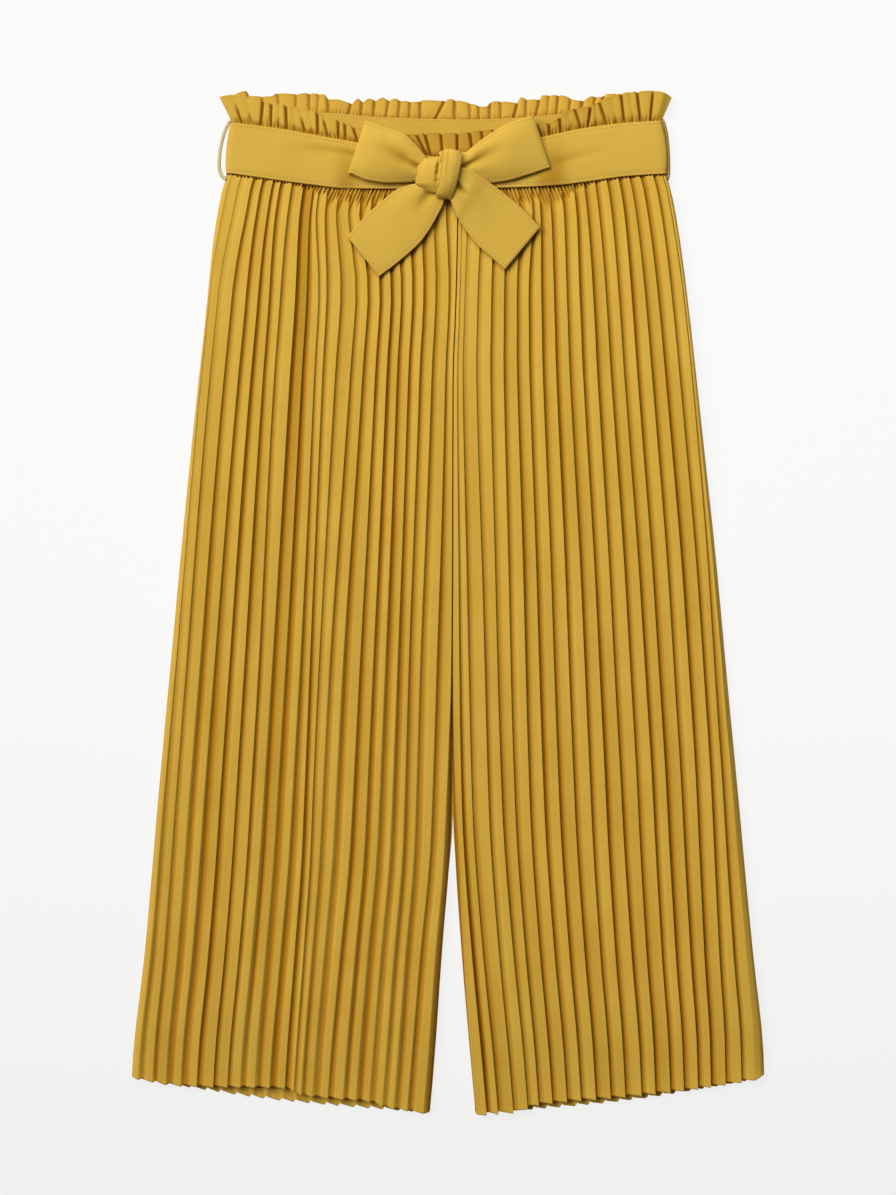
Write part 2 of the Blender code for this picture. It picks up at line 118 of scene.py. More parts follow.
def pale_table():
    grid = bmesh.new()
    bmesh.ops.create_grid(grid, x_segments=1, y_segments=1, size=FLOOR_SIZE / 2)
    bmesh.ops.translate(grid, verts=grid.verts, vec=(0, 0, -FLOOR_DROP * MM))
    mesh = bpy.data.meshes.new("table")
    grid.to_mesh(mesh)
    grid.free()
    material = bpy.data.materials.new("pale_table")
    material.use_nodes = True
    tree = material.node_tree
    shader = tree.nodes["Principled BSDF"]
    set_inputs(shader, base_color=TABLE_TINT, emission_color=TABLE_GLOW)
    set_inputs(shader, roughness=0.9, specular_ior_level=0.1)
    split = tree.nodes.new("ShaderNodeSeparateXYZ")
    tree.links.new(tree.nodes.new("ShaderNodeTexCoord").outputs["Object"], split.inputs["Vector"])
    # Painted falloff: the table's glow dims towards the bottom
    fade = tree.nodes.new("ShaderNodeMapRange")
    for name, value in zip(("From Min", "From Max", "To Min", "To Max"), PAINTED_TABLE_FALLOFF):
        fade.inputs[name].default_value = value
    tree.links.new(split.outputs["Y"], fade.inputs["Value"])
    tree.links.new(fade.outputs["Result"], shader.inputs["Emission Strength"])
    mesh.materials.append(material)
    table = bpy.data.objects.new("table", mesh)
    bpy.context.scene.collection.objects.link(table)


def lamp(name, kind, place, aim):
    data = bpy.data.lights.new(name, kind)
    light = bpy.data.objects.new(name, data)
    light.location = place
    light.rotation_euler = (aim - place).to_track_quat("-Z", "Y").to_euler()
    light.visible_camera = False
    bpy.context.scene.collection.objects.link(light)
    return data


pale_table()
key = lamp("key_lamp", "SUN", KEY_FROM, Vector())
key.energy = KEY_STRENGTH
key.angle = KEY_SPREAD
key.color = KEY_TINT
panel = lamp("waist_panel", "AREA", PANEL_AT, PANEL_AIM)
panel.shape = "DISK"
panel.size = PANEL_SIZE
panel.energy = PANEL_POWER
panel.color = PANEL_TINT
room = bpy.data.worlds.new("room")
room.use_nodes = True
set_inputs(room.node_tree.nodes["Background"], color=ROOM_TINT, strength=ROOM_LIGHT)
bpy.context.scene.world = room
bpy.context.scene.view_settings.view_transform = "Standard"
print("lamps:", [key.name, panel.name])

# %% [markdown]
# ## The cloth's finish
# The cloth is a fine crepe in mustard yellow: matt, with a dry grain and a little sheen at a slant. Its
# colour isn't quite even. A weave read from the UV map runs with the cloth round every fold, where
# object coordinates would cut through the folds. So each piece gets a UV map in metres of cloth. Light
# goes from wall to wall in a fold and takes the cloth's colour each time, so folds are a deeper brown.
# The few bounces of a render don't show it, so this is painted shade: each piece keeps it in an
# attribute, for its folds and for the places where the belt and the bow keep light off it.

# %% Draw the patterns of the cloth
CLOTH_MAP = "cloth"
PAINTED_SHADE_MAP = "fold"        # painted shade, from 0 to 1: deep in the folds, and where the belt and bow keep light off
THREAD_PITCH = 0.42      # millimetres between the threads of the weave
THREAD_WOBBLE = 1.2


def new_node(tree, kind, **settings):
    node = tree.nodes.new(kind)
    for name, value in settings.items():
        setattr(node, name, value)
    return node


def tinted(tree, pattern, low, high, tints):
    """Tints that follow a pattern's value, spread evenly between two limits."""
    ramp = new_node(tree, "ShaderNodeValToRGB")
    stops = ramp.color_ramp.elements
    while len(stops) < len(tints):
        stops.new(0.5)
    for step, tint in enumerate(tints):
        stops[step].position = low + (high - low) * step / (len(tints) - 1)
        stops[step].color = (*tint, 1)
    tree.links.new(pattern, ramp.inputs["Fac"])
    return ramp.outputs["Color"]


def speckle(tree, where, scale, detail=2.0):
    noise = new_node(tree, "ShaderNodeTexNoise")
    set_inputs(noise, scale=scale, detail=detail)
    tree.links.new(where, noise.inputs["Vector"])
    return noise.outputs["Fac"]


def threads(tree, where, direction):
    """Rows of threads, as a wave across the cloth."""
    wave = new_node(tree, "ShaderNodeTexWave", bands_direction=direction)
    scale = math.pi / (10 * THREAD_PITCH * MM)
    set_inputs(wave, scale=scale, distortion=THREAD_WOBBLE, detail=1.0, detail_scale=1.5)
    tree.links.new(where, wave.inputs["Vector"])
    return wave.outputs["Fac"]


def blended(tree, kind, first, second, share):
    mix = new_node(tree, "ShaderNodeMix", data_type="RGBA", blend_type=kind)
    mix.inputs["Factor"].default_value = share
    tree.links.new(first, mix.inputs["A"])
    tree.links.new(second, mix.inputs["B"])
    return mix.outputs["Result"]


def relief(tree, pattern, strength, depth, under=None):
    """A pattern raised by `depth` millimetres, on top of another relief."""
    bump = new_node(tree, "ShaderNodeBump")
    set_inputs(bump, strength=strength, distance=depth * MM)
    tree.links.new(pattern, bump.inputs["Height"])
    if under:
        tree.links.new(under, bump.inputs["Normal"])
    return bump.outputs["Normal"]


print("threads in a centimetre:", round(10 / THREAD_PITCH))

# %% Mix the cloth's materials
# Painted shade, from none to the deepest fold
PAINTED_SHADE_TINTS = ((1.0, 1.0, 1.0), (0.73, 0.645, 0.42), (0.64, 0.44, 0.02), (0.47, 0.29, 0.004))
FLECK_TINTS = ((0.93, 0.93, 0.93), (1.0, 1.0, 1.0))
ROUGHNESSES = ((0.72, 0.72, 0.72), (0.86, 0.86, 0.86))
SHEEN_TINT = (1.0, 0.86, 0.55, 1)
# How fine the mottling of the colour, its flecks, the crepe's grain and the dull spots are, for a metre
MOTTLES, FLECKS, GRAINS, SPOTS = 28.0, 900.0, 620.0, 300.0


def crepe(name, pale, deep, sheen, grain, mapped=True):
    """Crepe in a pale and a deep tint of its colour, with a weave and a dry grain."""
    material = bpy.data.materials.new(name)
    material.use_nodes = True
    tree = material.node_tree
    shader = tree.nodes["Principled BSDF"]
    body = new_node(tree, "ShaderNodeTexCoord").outputs["Object"]
    cloth = new_node(tree, "ShaderNodeUVMap", uv_map=CLOTH_MAP).outputs["UV"] if mapped else body

    mottled = tinted(tree, speckle(tree, body, MOTTLES), 0.3, 0.7, (deep, pale))
    fleck = tinted(tree, speckle(tree, cloth, FLECKS), 0.25, 0.75, FLECK_TINTS)
    # Painted shade: the colour darkens where the attribute says the cloth lies in a fold or out of the
    # light
    fold = new_node(tree, "ShaderNodeAttribute", attribute_name=PAINTED_SHADE_MAP).outputs["Fac"]
    painted_shade = tinted(tree, fold, 0.0, 1.0, PAINTED_SHADE_TINTS)
    flecked = blended(tree, "MULTIPLY", mottled, fleck, 1.0)
    tree.links.new(blended(tree, "MULTIPLY", flecked, painted_shade, 1.0), shader.inputs["Base Color"])

    weave = blended(tree, "ADD", threads(tree, cloth, "X"), threads(tree, cloth, "Y"), 1.0)
    woven = relief(tree, weave, 0.25 * grain, 0.05)
    grainy = relief(tree, speckle(tree, cloth, GRAINS, detail=3.0), 0.35 * grain, 0.12, under=woven)
    tree.links.new(grainy, shader.inputs["Normal"])

    rough = tinted(tree, speckle(tree, cloth, SPOTS), 0.3, 0.7, ROUGHNESSES)
    tree.links.new(rough, shader.inputs["Roughness"])
    set_inputs(shader, specular_ior_level=0.14, sheen_weight=sheen)
    set_inputs(shader, sheen_roughness=0.45, sheen_tint=SHEEN_TINT)
    return material


leg_crepe = crepe("leg_crepe", (0.696, 0.437, 0.060), (0.661, 0.402, 0.049), 0.08, 1.0)
belt_crepe = crepe("belt_crepe", (0.665, 0.428, 0.062), (0.640, 0.400, 0.054), 0.08, 0.8)
frill_crepe = crepe("frill_crepe", (0.69, 0.415, 0.056), (0.65, 0.38, 0.046), 0.08, 1.0)
pale_thread = crepe("pale_thread", (0.74, 0.62, 0.38), (0.62, 0.50, 0.28), 0.2, 1.6, mapped=False)
tan_thread = crepe("tan_thread", (0.50, 0.33, 0.10), (0.40, 0.25, 0.07), 0.2, 1.6, mapped=False)
seam_thread = crepe("seam_thread", (0.90, 0.67, 0.24), (0.80, 0.56, 0.16), 0.04, 1.0, mapped=False)
print("materials:", [material.name for material in bpy.data.materials])

# %% [markdown]
# ## Smooth lines through a few rows
# A pattern cutter draws a hem or a side seam as one smooth line through a few marks. This helper does
# the same with a table's rows, so that a table needs only the marks.

# %% Draw smooth lines through tables
Point = namedtuple("Point", "x y")


def curve_through(rows, key, value):
    """A smooth function of a table's key column, through its value column and never beyond it."""
    marks = sorted((getattr(row, key), getattr(row, value)) for row in rows)
    places = [mark[0] for mark in marks]
    heights = [mark[1] for mark in marks]
    rises = [(heights[i + 1] - heights[i]) / (places[i + 1] - places[i]) for i in range(len(marks) - 1)]
    slopes = [rises[0]]
    for a, b in zip(rises, rises[1:]):
        slopes.append(2 * a * b / (a + b) if a * b > 0 else 0.0)
    slopes.append(rises[-1])

    def height_at(place):
        place = min(max(place, places[0]), places[-1])
        step = min(max(bisect_right(places, place) - 1, 0), len(places) - 2)
        run = places[step + 1] - places[step]
        t = (place - places[step]) / run
        return (
            heights[step] * (2 * t**3 - 3 * t**2 + 1)
            + slopes[step] * run * (t**3 - 2 * t**2 + t)
            + heights[step + 1] * (3 * t**2 - 2 * t**3)
            + slopes[step + 1] * run * (t**3 - t**2)
        )

    return height_at


def through_rows(values):
    """A smooth function through values at 0, 1, 2 and so on."""
    return curve_through([Point(row, value) for row, value in enumerate(values)], "x", "y")


def smooth_step(share):
    share = min(max(share, 0.0), 1.0)
    return share * share * (3 - 2 * share)


def mixed(first, second, share):
    return first + (second - first) * share


print("halfway up a smooth step:", smooth_step(0.5))

# %% [markdown]
# The garment's outline is read from the picture at a few heights: both side seams, and the edges of the
# slit between the legs. The belt's lower edge hangs lower in the middle than at the sides.

# %% Table of the outline
# inner_left and inner_right are the front panels' edges at the slit between the legs. under_left and
# under_right are the back panels', which lap a little as far as the crotch
Outline = namedtuple("Outline", "y side_left inner_left under_left under_right inner_right side_right")
OUTLINE = (
    Outline(324.0, -168.0, 7.95, 8.6, 7.0, 8.05, 166.8),
    Outline(313.5, -171.4, 7.95, 8.6, 7.0, 8.05, 169.9),
    Outline(275.0, -178.2, 7.55, 8.2, 6.6, 7.65, 176.7),
    Outline(215.0, -184.3, 5.95, 7.0, 5.2, 6.05, 184.3),
    Outline(176.0, -188.6, 4.35, 6.0, 3.8, 4.45, 188.6),
    Outline(124.0, -194.2, 4.15, 5.2, 3.2, 4.25, 194.2),
    Outline(32.0, -203.3, 3.95, 5.2, 2.6, 4.05, 204.1),
    Outline(-38.0, -209.8, 3.5, 5.2, 2.4, 3.7, 210.6),
    Outline(-74.0, -213.2, 3.3, 5.0, 2.6, 3.7, 213.9),
    Outline(-140.0, -219.3, 2.7, 4.6, 3.2, 4.2, 220.4),
    Outline(-168.0, -221.8, 2.3, 3.8, 4.0, 4.8, 223.0),
    Outline(-190.0, -223.6, 1.7, 1.8, 6.0, 5.7, 225.0),
    Outline(-272.0, -230.9, -4.9, -4.9, 11.2, 11.2, 233.0),
    Outline(-347.0, -239.5, -10.0, -10.0, 17.6, 17.6, 240.6),
    Outline(-388.0, -241.3, -13.6, -13.6, 21.4, 21.4, 241.3),
)
SIDES = {side: curve_through(OUTLINE, "y", side) for side in Outline._fields[1:]}

# The belt's lower edge. The seam between casing and legs is hidden just above it
BELT_EDGE = (
    Point(-168.4, 326.0), Point(-138.0, 322.2), Point(-106.0, 317.8), Point(-75.0, 314.6),
    Point(-41.0, 314.4), Point(-6.0, 316.0), Point(30.0, 315.0), Point(78.0, 316.6), Point(104.5, 319.6),
    Point(137.2, 324.0), Point(166.9, 325.8),
)
SEAM_ABOVE = 2.4
belt_edge_y = curve_through(BELT_EDGE, "x", "y")


def seam_y(x):
    return belt_edge_y(x) + SEAM_ABOVE


print("width at the hem, mm:", round(SIDES["side_right"](-347.0) - SIDES["side_left"](-347.0)))

# %% [markdown]
# ## A sheet of cloth
# Cloth starts as a flat grid, and a rule moves each of its points to where the cloth lies. The Solidify
# modifier then gives it a wall. The grid's UV map is measured along the bent cloth, so the weave keeps
# its size on wide and narrow cells. Modelling both faces of the cloth by hand would be twice the work.

# %% Lay out sheets of cloth
WALL = 0.6               # the cloth with its grain, in millimetres


def finish_piece(name, mesh, material, nodes):
    """Links a piece at the origin with its material, and hides the imported parts that it stands for."""
    mesh.materials.append(material)
    mesh.shade_smooth()
    piece = bpy.data.objects.new(name, mesh)
    bpy.context.scene.collection.objects.link(piece)
    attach(piece, "root")
    if nodes:
        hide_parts(*nodes)
    return piece


def measure_run(points):
    """Running length along a line of points."""
    run = [0.0]
    for here, there in zip(points, points[1:]):
        run.append(run[-1] + (there - here).length)
    return run


def cloth_sheet(name, columns, rows, place, material, nodes, wall=WALL, lies_up=True):
    """A grid whose points `place(column, row)` puts in millimetres, with a wall behind its face.

    `place` also gives each point's painted shade, for its folds and where light is kept off it. The face
    looks up, or down at the table where `lies_up` is False.
    """
    across, along = len(columns) - 1, len(rows) - 1
    grid = bmesh.new()
    bmesh.ops.create_grid(grid, x_segments=across, y_segments=along, size=0.5)
    painted_shade = grid.verts.layers.float.new(PAINTED_SHADE_MAP)
    cell = {}
    for vert in grid.verts:
        at = (round((vert.co.x + 0.5) * across), round((vert.co.y + 0.5) * along))
        *spot, fold = place(columns[at[0]], rows[at[1]])
        vert.co = Vector(spot) * MM
        vert[painted_shade] = min(max(fold, 0.0), 1.0)
        cell[vert] = at
    spots = {at: vert.co for vert, at in cell.items()}
    run_across = measure_run([spots[column, along // 2] for column in range(across + 1)])
    run_along = measure_run([spots[across // 2, row] for row in range(along + 1)])
    layer = grid.loops.layers.uv.new(CLOTH_MAP)
    for face in grid.faces:
        for loop in face.loops:
            column, row = cell[loop.vert]
            loop[layer].uv = (run_across[column], run_along[row])
    grid.normal_update()
    up = sum(face.normal.z * face.calc_area() for face in grid.faces)
    if (up > 0) != lies_up:
        bmesh.ops.reverse_faces(grid, faces=grid.faces)
    mesh = bpy.data.meshes.new(name)
    grid.to_mesh(mesh)
    grid.free()
    piece = finish_piece(name, mesh, material, nodes)
    solidify = piece.modifiers.new("Wall", "SOLIDIFY")
    solidify.thickness = wall * MM
    solidify.offset = -1.0
    return piece


print("wall of the cloth, mm:", WALL)

# %% [markdown]
# ## The pleated legs
# Each leg is a tube of pleated cloth pressed flat: a front panel above and a back panel below. In cross
# section a pleat rises out of a fold, lies nearly flat, and drops over a sharp crest into the next fold.
# Near the waist the crests lap over the folds, so that only a dark line shows. Towards the hem the
# pleats of the left leg open, and their shaded side shows too. Every pleat has a row of widths at four
# heights. The deeper a fold is, the darker it looks, so each row also says how deep its fold is.

# %% Tables of the pleats
PLEAT_HEIGHTS = (294.5, 230.0, -74.0, -347.7)

# waist, hip, knee and hem are widths. deep_hip and deep_hem are shares of a full fold's depth for the
# fold on the pleat's right. opens is how far the pleat opens at the hem, from 0 to 1, and sunk is how far
# the whole pleat lies below the others at the waist
Pleat = namedtuple("Pleat", "waist hip knee hem deep_hip deep_hem opens sunk", defaults=(0.0,))
LEFT_PLEATS = (
    Pleat(3.8, 1.6, 5.3, 7.6, 0.3, 0.65, 0.8),
    Pleat(7.6, 6.0, 8.4, 10.6, 0.35, 0.85, 0.6),
    Pleat(9.9, 10.6, 11.4, 11.4, 0.9, 1.0, 0.9),
    Pleat(7.6, 10.6, 10.6, 10.6, 1.0, 1.0, 0.7),
    Pleat(8.4, 9.1, 10.6, 10.6, 1.15, 1.0, 0.3),
    Pleat(6.1, 8.4, 11.4, 12.2, 1.1, 0.9, 0.2),
    Pleat(9.1, 8.4, 11.4, 11.4, 0.75, 0.95, 0.35),
    Pleat(9.1, 11.4, 11.4, 11.4, 0.95, 0.95, 0.8),
    Pleat(7.6, 8.4, 10.6, 11.4, 1.4, 0.9, 0.9, 1.1),
    Pleat(4.6, 9.1, 10.6, 10.6, 0.7, 1.15, 0.7),
    Pleat(6.8, 6.1, 6.8, 10.6, 0.75, 1.15, 0.4),
    Pleat(8.4, 10.6, 6.8, 6.8, 0.7, 0.55, 0.5),
    Pleat(9.1, 11.4, 9.1, 6.8, 0.8, 0.8, 0.8),
    Pleat(8.4, 9.1, 10.6, 9.9, 1.1, 0.85, 0.9),
    Pleat(8.4, 9.1, 12.2, 10.6, 1.05, 1.0, 0.6),
    Pleat(9.1, 8.4, 10.6, 12.2, 1.25, 0.95, 0.7),
    Pleat(9.5, 7.6, 9.9, 10.6, 1.1, 1.0, 0.9),
    Pleat(9.5, 8.4, 9.1, 9.9, 1.15, 0.8, 0.8),
    Pleat(9.5, 8.4, 8.4, 9.9, 0.95, 0.8, 0.7),
    Pleat(9.5, 9.1, 9.1, 9.1, 0.8, 0.85, 0.8),
    Pleat(9.5, 9.9, 12.2, 9.9, 0.95, 0.9, 0.6),
    Pleat(9.1, 5.7, 11.0, 15.2, 1.2, 1.1, 0.5),
)
RIGHT_PLEATS = (
    Pleat(2.6, 2.6, 5.6, 8.6, 0.6, 1.35, 0.1),
    Pleat(4.6, 3.8, 7.6, 9.1, 0.6, 0.8, 0.2),
    Pleat(10.6, 9.9, 12.2, 11.4, 0.6, 0.8, 0.1),
    Pleat(9.9, 10.6, 9.9, 11.4, 0.75, 0.8, 0.15),
    Pleat(9.9, 9.9, 9.9, 8.4, 0.85, 0.8, 0.1),
    Pleat(10.6, 9.9, 11.4, 10.6, 1.0, 0.95, 0.1),
    Pleat(9.9, 9.1, 10.6, 11.4, 1.0, 1.0, 0.15),
    Pleat(6.1, 9.9, 11.4, 10.6, 1.0, 0.95, 0.1),
    Pleat(8.4, 9.9, 11.4, 11.4, 1.05, 0.95, 0.1),
    Pleat(9.9, 9.9, 12.2, 11.4, 1.0, 0.95, 0.1),
    Pleat(9.9, 9.9, 11.4, 11.4, 1.05, 1.05, 0.15),
    Pleat(8.4, 10.6, 11.4, 12.2, 1.0, 0.95, 0.1),
    Pleat(9.1, 9.9, 12.2, 10.6, 0.95, 1.0, 0.1),
    Pleat(9.9, 9.9, 11.4, 11.4, 0.95, 1.05, 0.1),
    Pleat(9.9, 9.9, 10.6, 10.6, 1.05, 1.05, 0.15),
    Pleat(9.1, 10.6, 11.4, 10.6, 0.9, 1.0, 0.1),
    Pleat(9.1, 9.9, 11.4, 9.9, 1.05, 1.1, 0.1),
    Pleat(10.6, 10.6, 11.4, 11.4, 0.85, 1.0, 0.15),
    Pleat(7.6, 9.0, 8.4, 12.2, 0.65, 0.95, 0.2),
    Pleat(3.9, 3.2, 9.2, 16.7, 0.5, 0.7, 0.5),
)
FRONT_HEM_LEFT = (
    Point(-241.3, -360.0), Point(-202.0, -366.2), Point(-123.0, -368.0), Point(-112.0, -373.0),
    Point(-58.0, -378.5), Point(-48.0, -382.0), Point(-14.0, -387.5),
)
FRONT_HEM_RIGHT = (
    Point(21.0, -387.5), Point(50.0, -385.5), Point(70.0, -379.5), Point(135.0, -373.5),
    Point(190.0, -367.5), Point(241.3, -359.0),
)
BACK_HEM_LEFT = (
    Point(-241.3, -359.0), Point(-184.0, -369.0), Point(-126.0, -377.0), Point(-14.0, -386.5),
)
BACK_HEM_RIGHT = (
    Point(21.0, -386.5), Point(67.0, -383.6), Point(137.0, -377.0), Point(200.0, -367.0),
    Point(241.3, -359.5),
)
print("pleats on the front:", len(LEFT_PLEATS), "and", len(RIGHT_PLEATS))

# %% Shape a pleated panel
CREST_TOP = 8.7          # height of the pleats' crests
CREST_WAVE, CREST_LENGTH = 0.2, 70.0    # they go up and down by this, and this far down the leg
FULL_DEPTH = 2.35        # depth of a full fold
LOWEST = 4.7             # the deepest fold goes no lower, above the back panel
NARROW = 6.0             # pleats narrower than this have shallower folds
RISE_RUN = 6.4           # width over which a pleat rises out of its fold
RISE_SHARE = 0.62        # and no more than this share of the pleat's width
OPEN_RISE = 0.45         # share of that width that is left where the pleat is wide open
FLOOR = 0.24             # share of that width in which it still lies at the bottom of the fold
SHOULDER = 0.88          # share of its depth that a pleat has gained where its flat starts
SHOULDER_WAVE, SHOULDER_LENGTH = 0.07, 190.0
FLAT_CURVE = 1.5         # how fast the flat gains the rest
LAP = 0.2                # how far a closed crest laps over its fold
OPEN_FALL = 4.0          # width of the shaded side of a pleat that is wide open
OPEN_SHARE = 0.42        # and no more than this share of the pleat's width
OPEN_SOON = 1.15         # the pleats are open a little above the hem

# Width over which the panel drops to each of its side edges. The drop is steep in the slit, where the
# legs press on each other
Run = namedtuple("Run", "y side_left inner_left inner_right side_right")
RUNS = (
    Run(324.0, 2.4, 0.5, 0.5, 2.4),
    Run(-40.0, 2.4, 0.6, 0.6, 3.2),
    Run(-140.0, 2.4, 3.1, 2.1, 4.0),
    Run(-190.0, 2.4, 4.5, 3.8, 4.6),
    Run(-270.0, 2.4, 4.8, 2.0, 5.4),
    Run(-350.0, 2.4, 5.0, 0.8, 7.6),
)
SIDE_RUNS = {side: curve_through(RUNS, "y", side) for side in Run._fields[1:]}
# Height of the panel's side edges. A seam closes the slit above the crotch, so it is shallow there
TOPS = (
    Run(324.0, 4.9, 6.2, 6.2, 4.9),
    Run(-40.0, 4.9, 5.3, 5.3, 4.9),
    Run(-140.0, 4.9, 5.0, 5.0, 5.3),
    Run(-190.0, 4.9, 4.9, 4.9, 5.7),
    Run(-270.0, 4.9, 4.9, 4.9, 6.3),
    Run(-350.0, 4.9, 4.9, 5.2, 6.8),
)
SIDE_TOPS = {side: curve_through(TOPS, "y", side) for side in Run._fields[1:]}


def fold_lines(pleats):
    """For each fold line, a smooth function of y that gives its share of the panel's width."""
    sums = []
    for column in Pleat._fields[:4]:
        widths = [getattr(pleat, column) for pleat in pleats]
        whole = sum(widths)
        sums.append([sum(widths[:count]) / whole for count in range(len(widths) + 1)])
    return [
        curve_through([Point(y, row[index]) for y, row in zip(PLEAT_HEIGHTS, sums)], "x", "y")
        for index in range(len(pleats) + 1)
    ]


class PleatedPanel:
    """Where the folds of a panel run, how deep they are, and how far they are open."""

    def __init__(self, pleats, left, right):
        self.pleats = pleats
        # At the slit, a back panel drops to its edge as the front panel does
        first, last = left.replace("under", "inner"), right.replace("under", "inner")
        self.first_run, self.last_run = SIDE_RUNS[first], SIDE_RUNS[last]
        self.first_top, self.last_top = SIDE_TOPS[first], SIDE_TOPS[last]
        self.left = SIDES[left]
        self.right = SIDES[right]
        self.lines = fold_lines(pleats)

    def fold_x(self, index, y):
        left, right = self.left(y), self.right(y)
        return left + (right - left) * self.lines[index](y)

    def down_leg(self, y):
        """0 at the hip and 1 at the hem."""
        return min(max((PLEAT_HEIGHTS[1] - y) / (PLEAT_HEIGHTS[1] - PLEAT_HEIGHTS[3]), 0.0), 1.0)

    def depth(self, index, y):
        """Depth of the fold at the right of pleat `index`, or of the panel's side past the last one."""
        if index < 0:
            return CREST_TOP - self.first_top(y)
        if index == len(self.pleats) - 1:
            return CREST_TOP - self.last_top(y)
        pleat = self.pleats[index]
        deep = mixed(pleat.deep_hip, pleat.deep_hem, self.down_leg(y))
        width = self.fold_x(index + 1, y) - self.fold_x(index, y)
        return min(deep * FULL_DEPTH, CREST_TOP - LOWEST) * smooth_step(width / NARROW)

    def place(self, index, station, y):
        """x and height at a station of a pleat: 0 to 1 up, 1 to 2 along its flat, 2 to 3 down."""
        start, end = self.fold_x(index, y), self.fold_x(index + 1, y)
        width = end - start
        opens = self.pleats[index].opens * smooth_step(self.down_leg(y) * OPEN_SOON)
        fall = mixed(-LAP, min(OPEN_FALL, OPEN_SHARE * width), opens) * min(1.0, width / NARROW)
        rise = min(RISE_RUN * mixed(1, OPEN_RISE, opens), RISE_SHARE * width)
        if index == 0:
            rise = min(self.first_run(y), RISE_SHARE * width)
        if index == len(self.pleats) - 1:
            fall = min(self.last_run(y), width / 2)
        before, after = self.depth(index - 1, y), self.depth(index, y)
        sunk = self.pleats[index].sunk * (1 - self.down_leg(y))
        crest = CREST_TOP + CREST_WAVE * math.sin(1.7 * index + y / CREST_LENGTH) - sunk
        shoulder = SHOULDER + SHOULDER_WAVE * math.sin(2.9 * index + y / SHOULDER_LENGTH)
        if station <= 1:
            gained = shoulder * smooth_step((station - FLOOR) / (1 - FLOOR))
            return start + rise * station, crest - before * (1 - gained)
        if station <= 2:
            share = station - 1
            x = start + rise + (width - fall - rise) * share
            return x, crest - before * (1 - shoulder) * (1 - share) ** FLAT_CURVE
        share = station - 2
        return end - fall * (1 - share), crest - after * share


left_panel = PleatedPanel(LEFT_PLEATS, "side_left", "inner_left")
right_panel = PleatedPanel(RIGHT_PLEATS, "inner_right", "side_right")
print("a fold at the knee, mm:", round(left_panel.fold_x(8, -74.0), 1))

# %% [markdown]
# Elastic pulls the casing into small uneven gathers. They run on a little way into the tops of the
# pleats. Their spacing is drawn from a seeded random source, so every run of the script gives the same.

# %% Draw uneven gathers
GATHER_HEIGHTS = (0.3, 1.0)      # shares of the fullest gather's height
GATHER_REACHES = (0.45, 1.0)     # and of the longest one's length
GATHER_ROUND = 0.7
VALLEY_HALF = 0.85


class Gathers:
    """Rounded ridges with narrow valleys between them, at uneven spacing."""

    def __init__(self, seed, start, end, narrow, wide):
        draw = random.Random(seed)
        self.valleys, self.heights, self.reaches = [start], [], []
        while self.valleys[-1] < end:
            self.valleys.append(self.valleys[-1] + draw.uniform(narrow, wide))
            self.heights.append(draw.uniform(*GATHER_HEIGHTS))
            self.reaches.append(draw.uniform(*GATHER_REACHES))

    def step(self, x):
        return min(max(bisect_right(self.valleys, x) - 1, 0), len(self.heights) - 1)

    def height(self, x):
        return self.heights[self.step(x)]

    def ridge(self, x):
        """0 in a valley and up to 1 on a ridge."""
        step = self.step(x)
        share = (x - self.valleys[step]) / (self.valleys[step + 1] - self.valleys[step])
        return self.heights[step] * math.sin(math.pi * min(max(share, 0.0), 1.0)) ** GATHER_ROUND

    def stroke(self, x, below, longest):
        """1 in the middle of a valley, fading out where the valley's own reach ends."""
        step = self.step(x)
        if x - self.valleys[step] > self.valleys[step + 1] - x:
            step = min(step + 1, len(self.reaches) - 1)
        reach = longest * self.reaches[step]
        aside = (x - self.valleys[step]) / VALLEY_HALF
        return math.exp(-(aside**2)) * smooth_step((reach - below) / (0.5 * reach))


front_gathers = Gathers(11, -180.0, 180.0, 1.9, 3.3)
back_gathers = Gathers(12, -180.0, 180.0, 1.6, 2.9)


print("gathers across the waist:", len(front_gathers.heights))

# %% [markdown]
# A panel hangs from its seam to its hem, and its columns of points follow the folds. At the hem the crests
# hang a little lower than the folds, so the hem's edge is a row of small teeth. The rows lie closer
# together near the belt and at the rolled hem, where the cloth changes fast.

# %% Hang a pleated panel
# Stations up a pleat out of its fold, along its flat, and down into the next fold
STATIONS = (
    tuple(0.1 * step for step in range(1, 11))
    + (1.13, 1.26, 1.39, 1.52, 1.65, 1.78, 1.88, 1.94, 1.98, 2.0, 2.15, 2.55, 3.0)
)
BACK_STATIONS = (0.3, 0.65, 1.0, 1.3, 1.6, 1.9, 2.0, 2.4, 3.0)
LEG_LENGTH = 690.0       # down a leg from its seam
TOP_ROWS = (             # millimetres down from there
    0.0, 1.0, 2.0, 3.0, 4.0, 5.1, 6.2, 7.4, 8.7, 10.0, 11.4, 12.8, 14.4, 16.2, 18.4, 22.0, 28.0, 37.0, 50.0,
)
HEM_ROWS = [0.985, 0.992, 0.9965, 0.9985, 1.0]    # shares of the way from seam to hem
ROWS = [row / LEG_LENGTH for row in TOP_ROWS] + [0.1 + 0.875 * step / 31 for step in range(32)] + HEM_ROWS
BACK_ROWS = [0.0, 0.01, 0.03, 0.05, 0.08] + [0.12 + 0.85 * step / 16 for step in range(17)] + HEM_ROWS
SEAM_TUCK = 0.5          # the pleats go this far under the casing
HEM_LIP = 0.35           # the narrow rolled hem is this much thicker
LIP_FROM, LIP_TO = 0.9955, 0.9975
SETTLES_FROM = 0.9
TOOTH_FOLD = 0.2         # share of a tooth by which the folds' edges hang too


def hang(line, x_at):
    """The y where a fold line, whose x is `x_at(y)`, meets a line across the pants."""
    y = line(0.0)
    for _ in range(6):
        y = line(x_at(y))
    return y


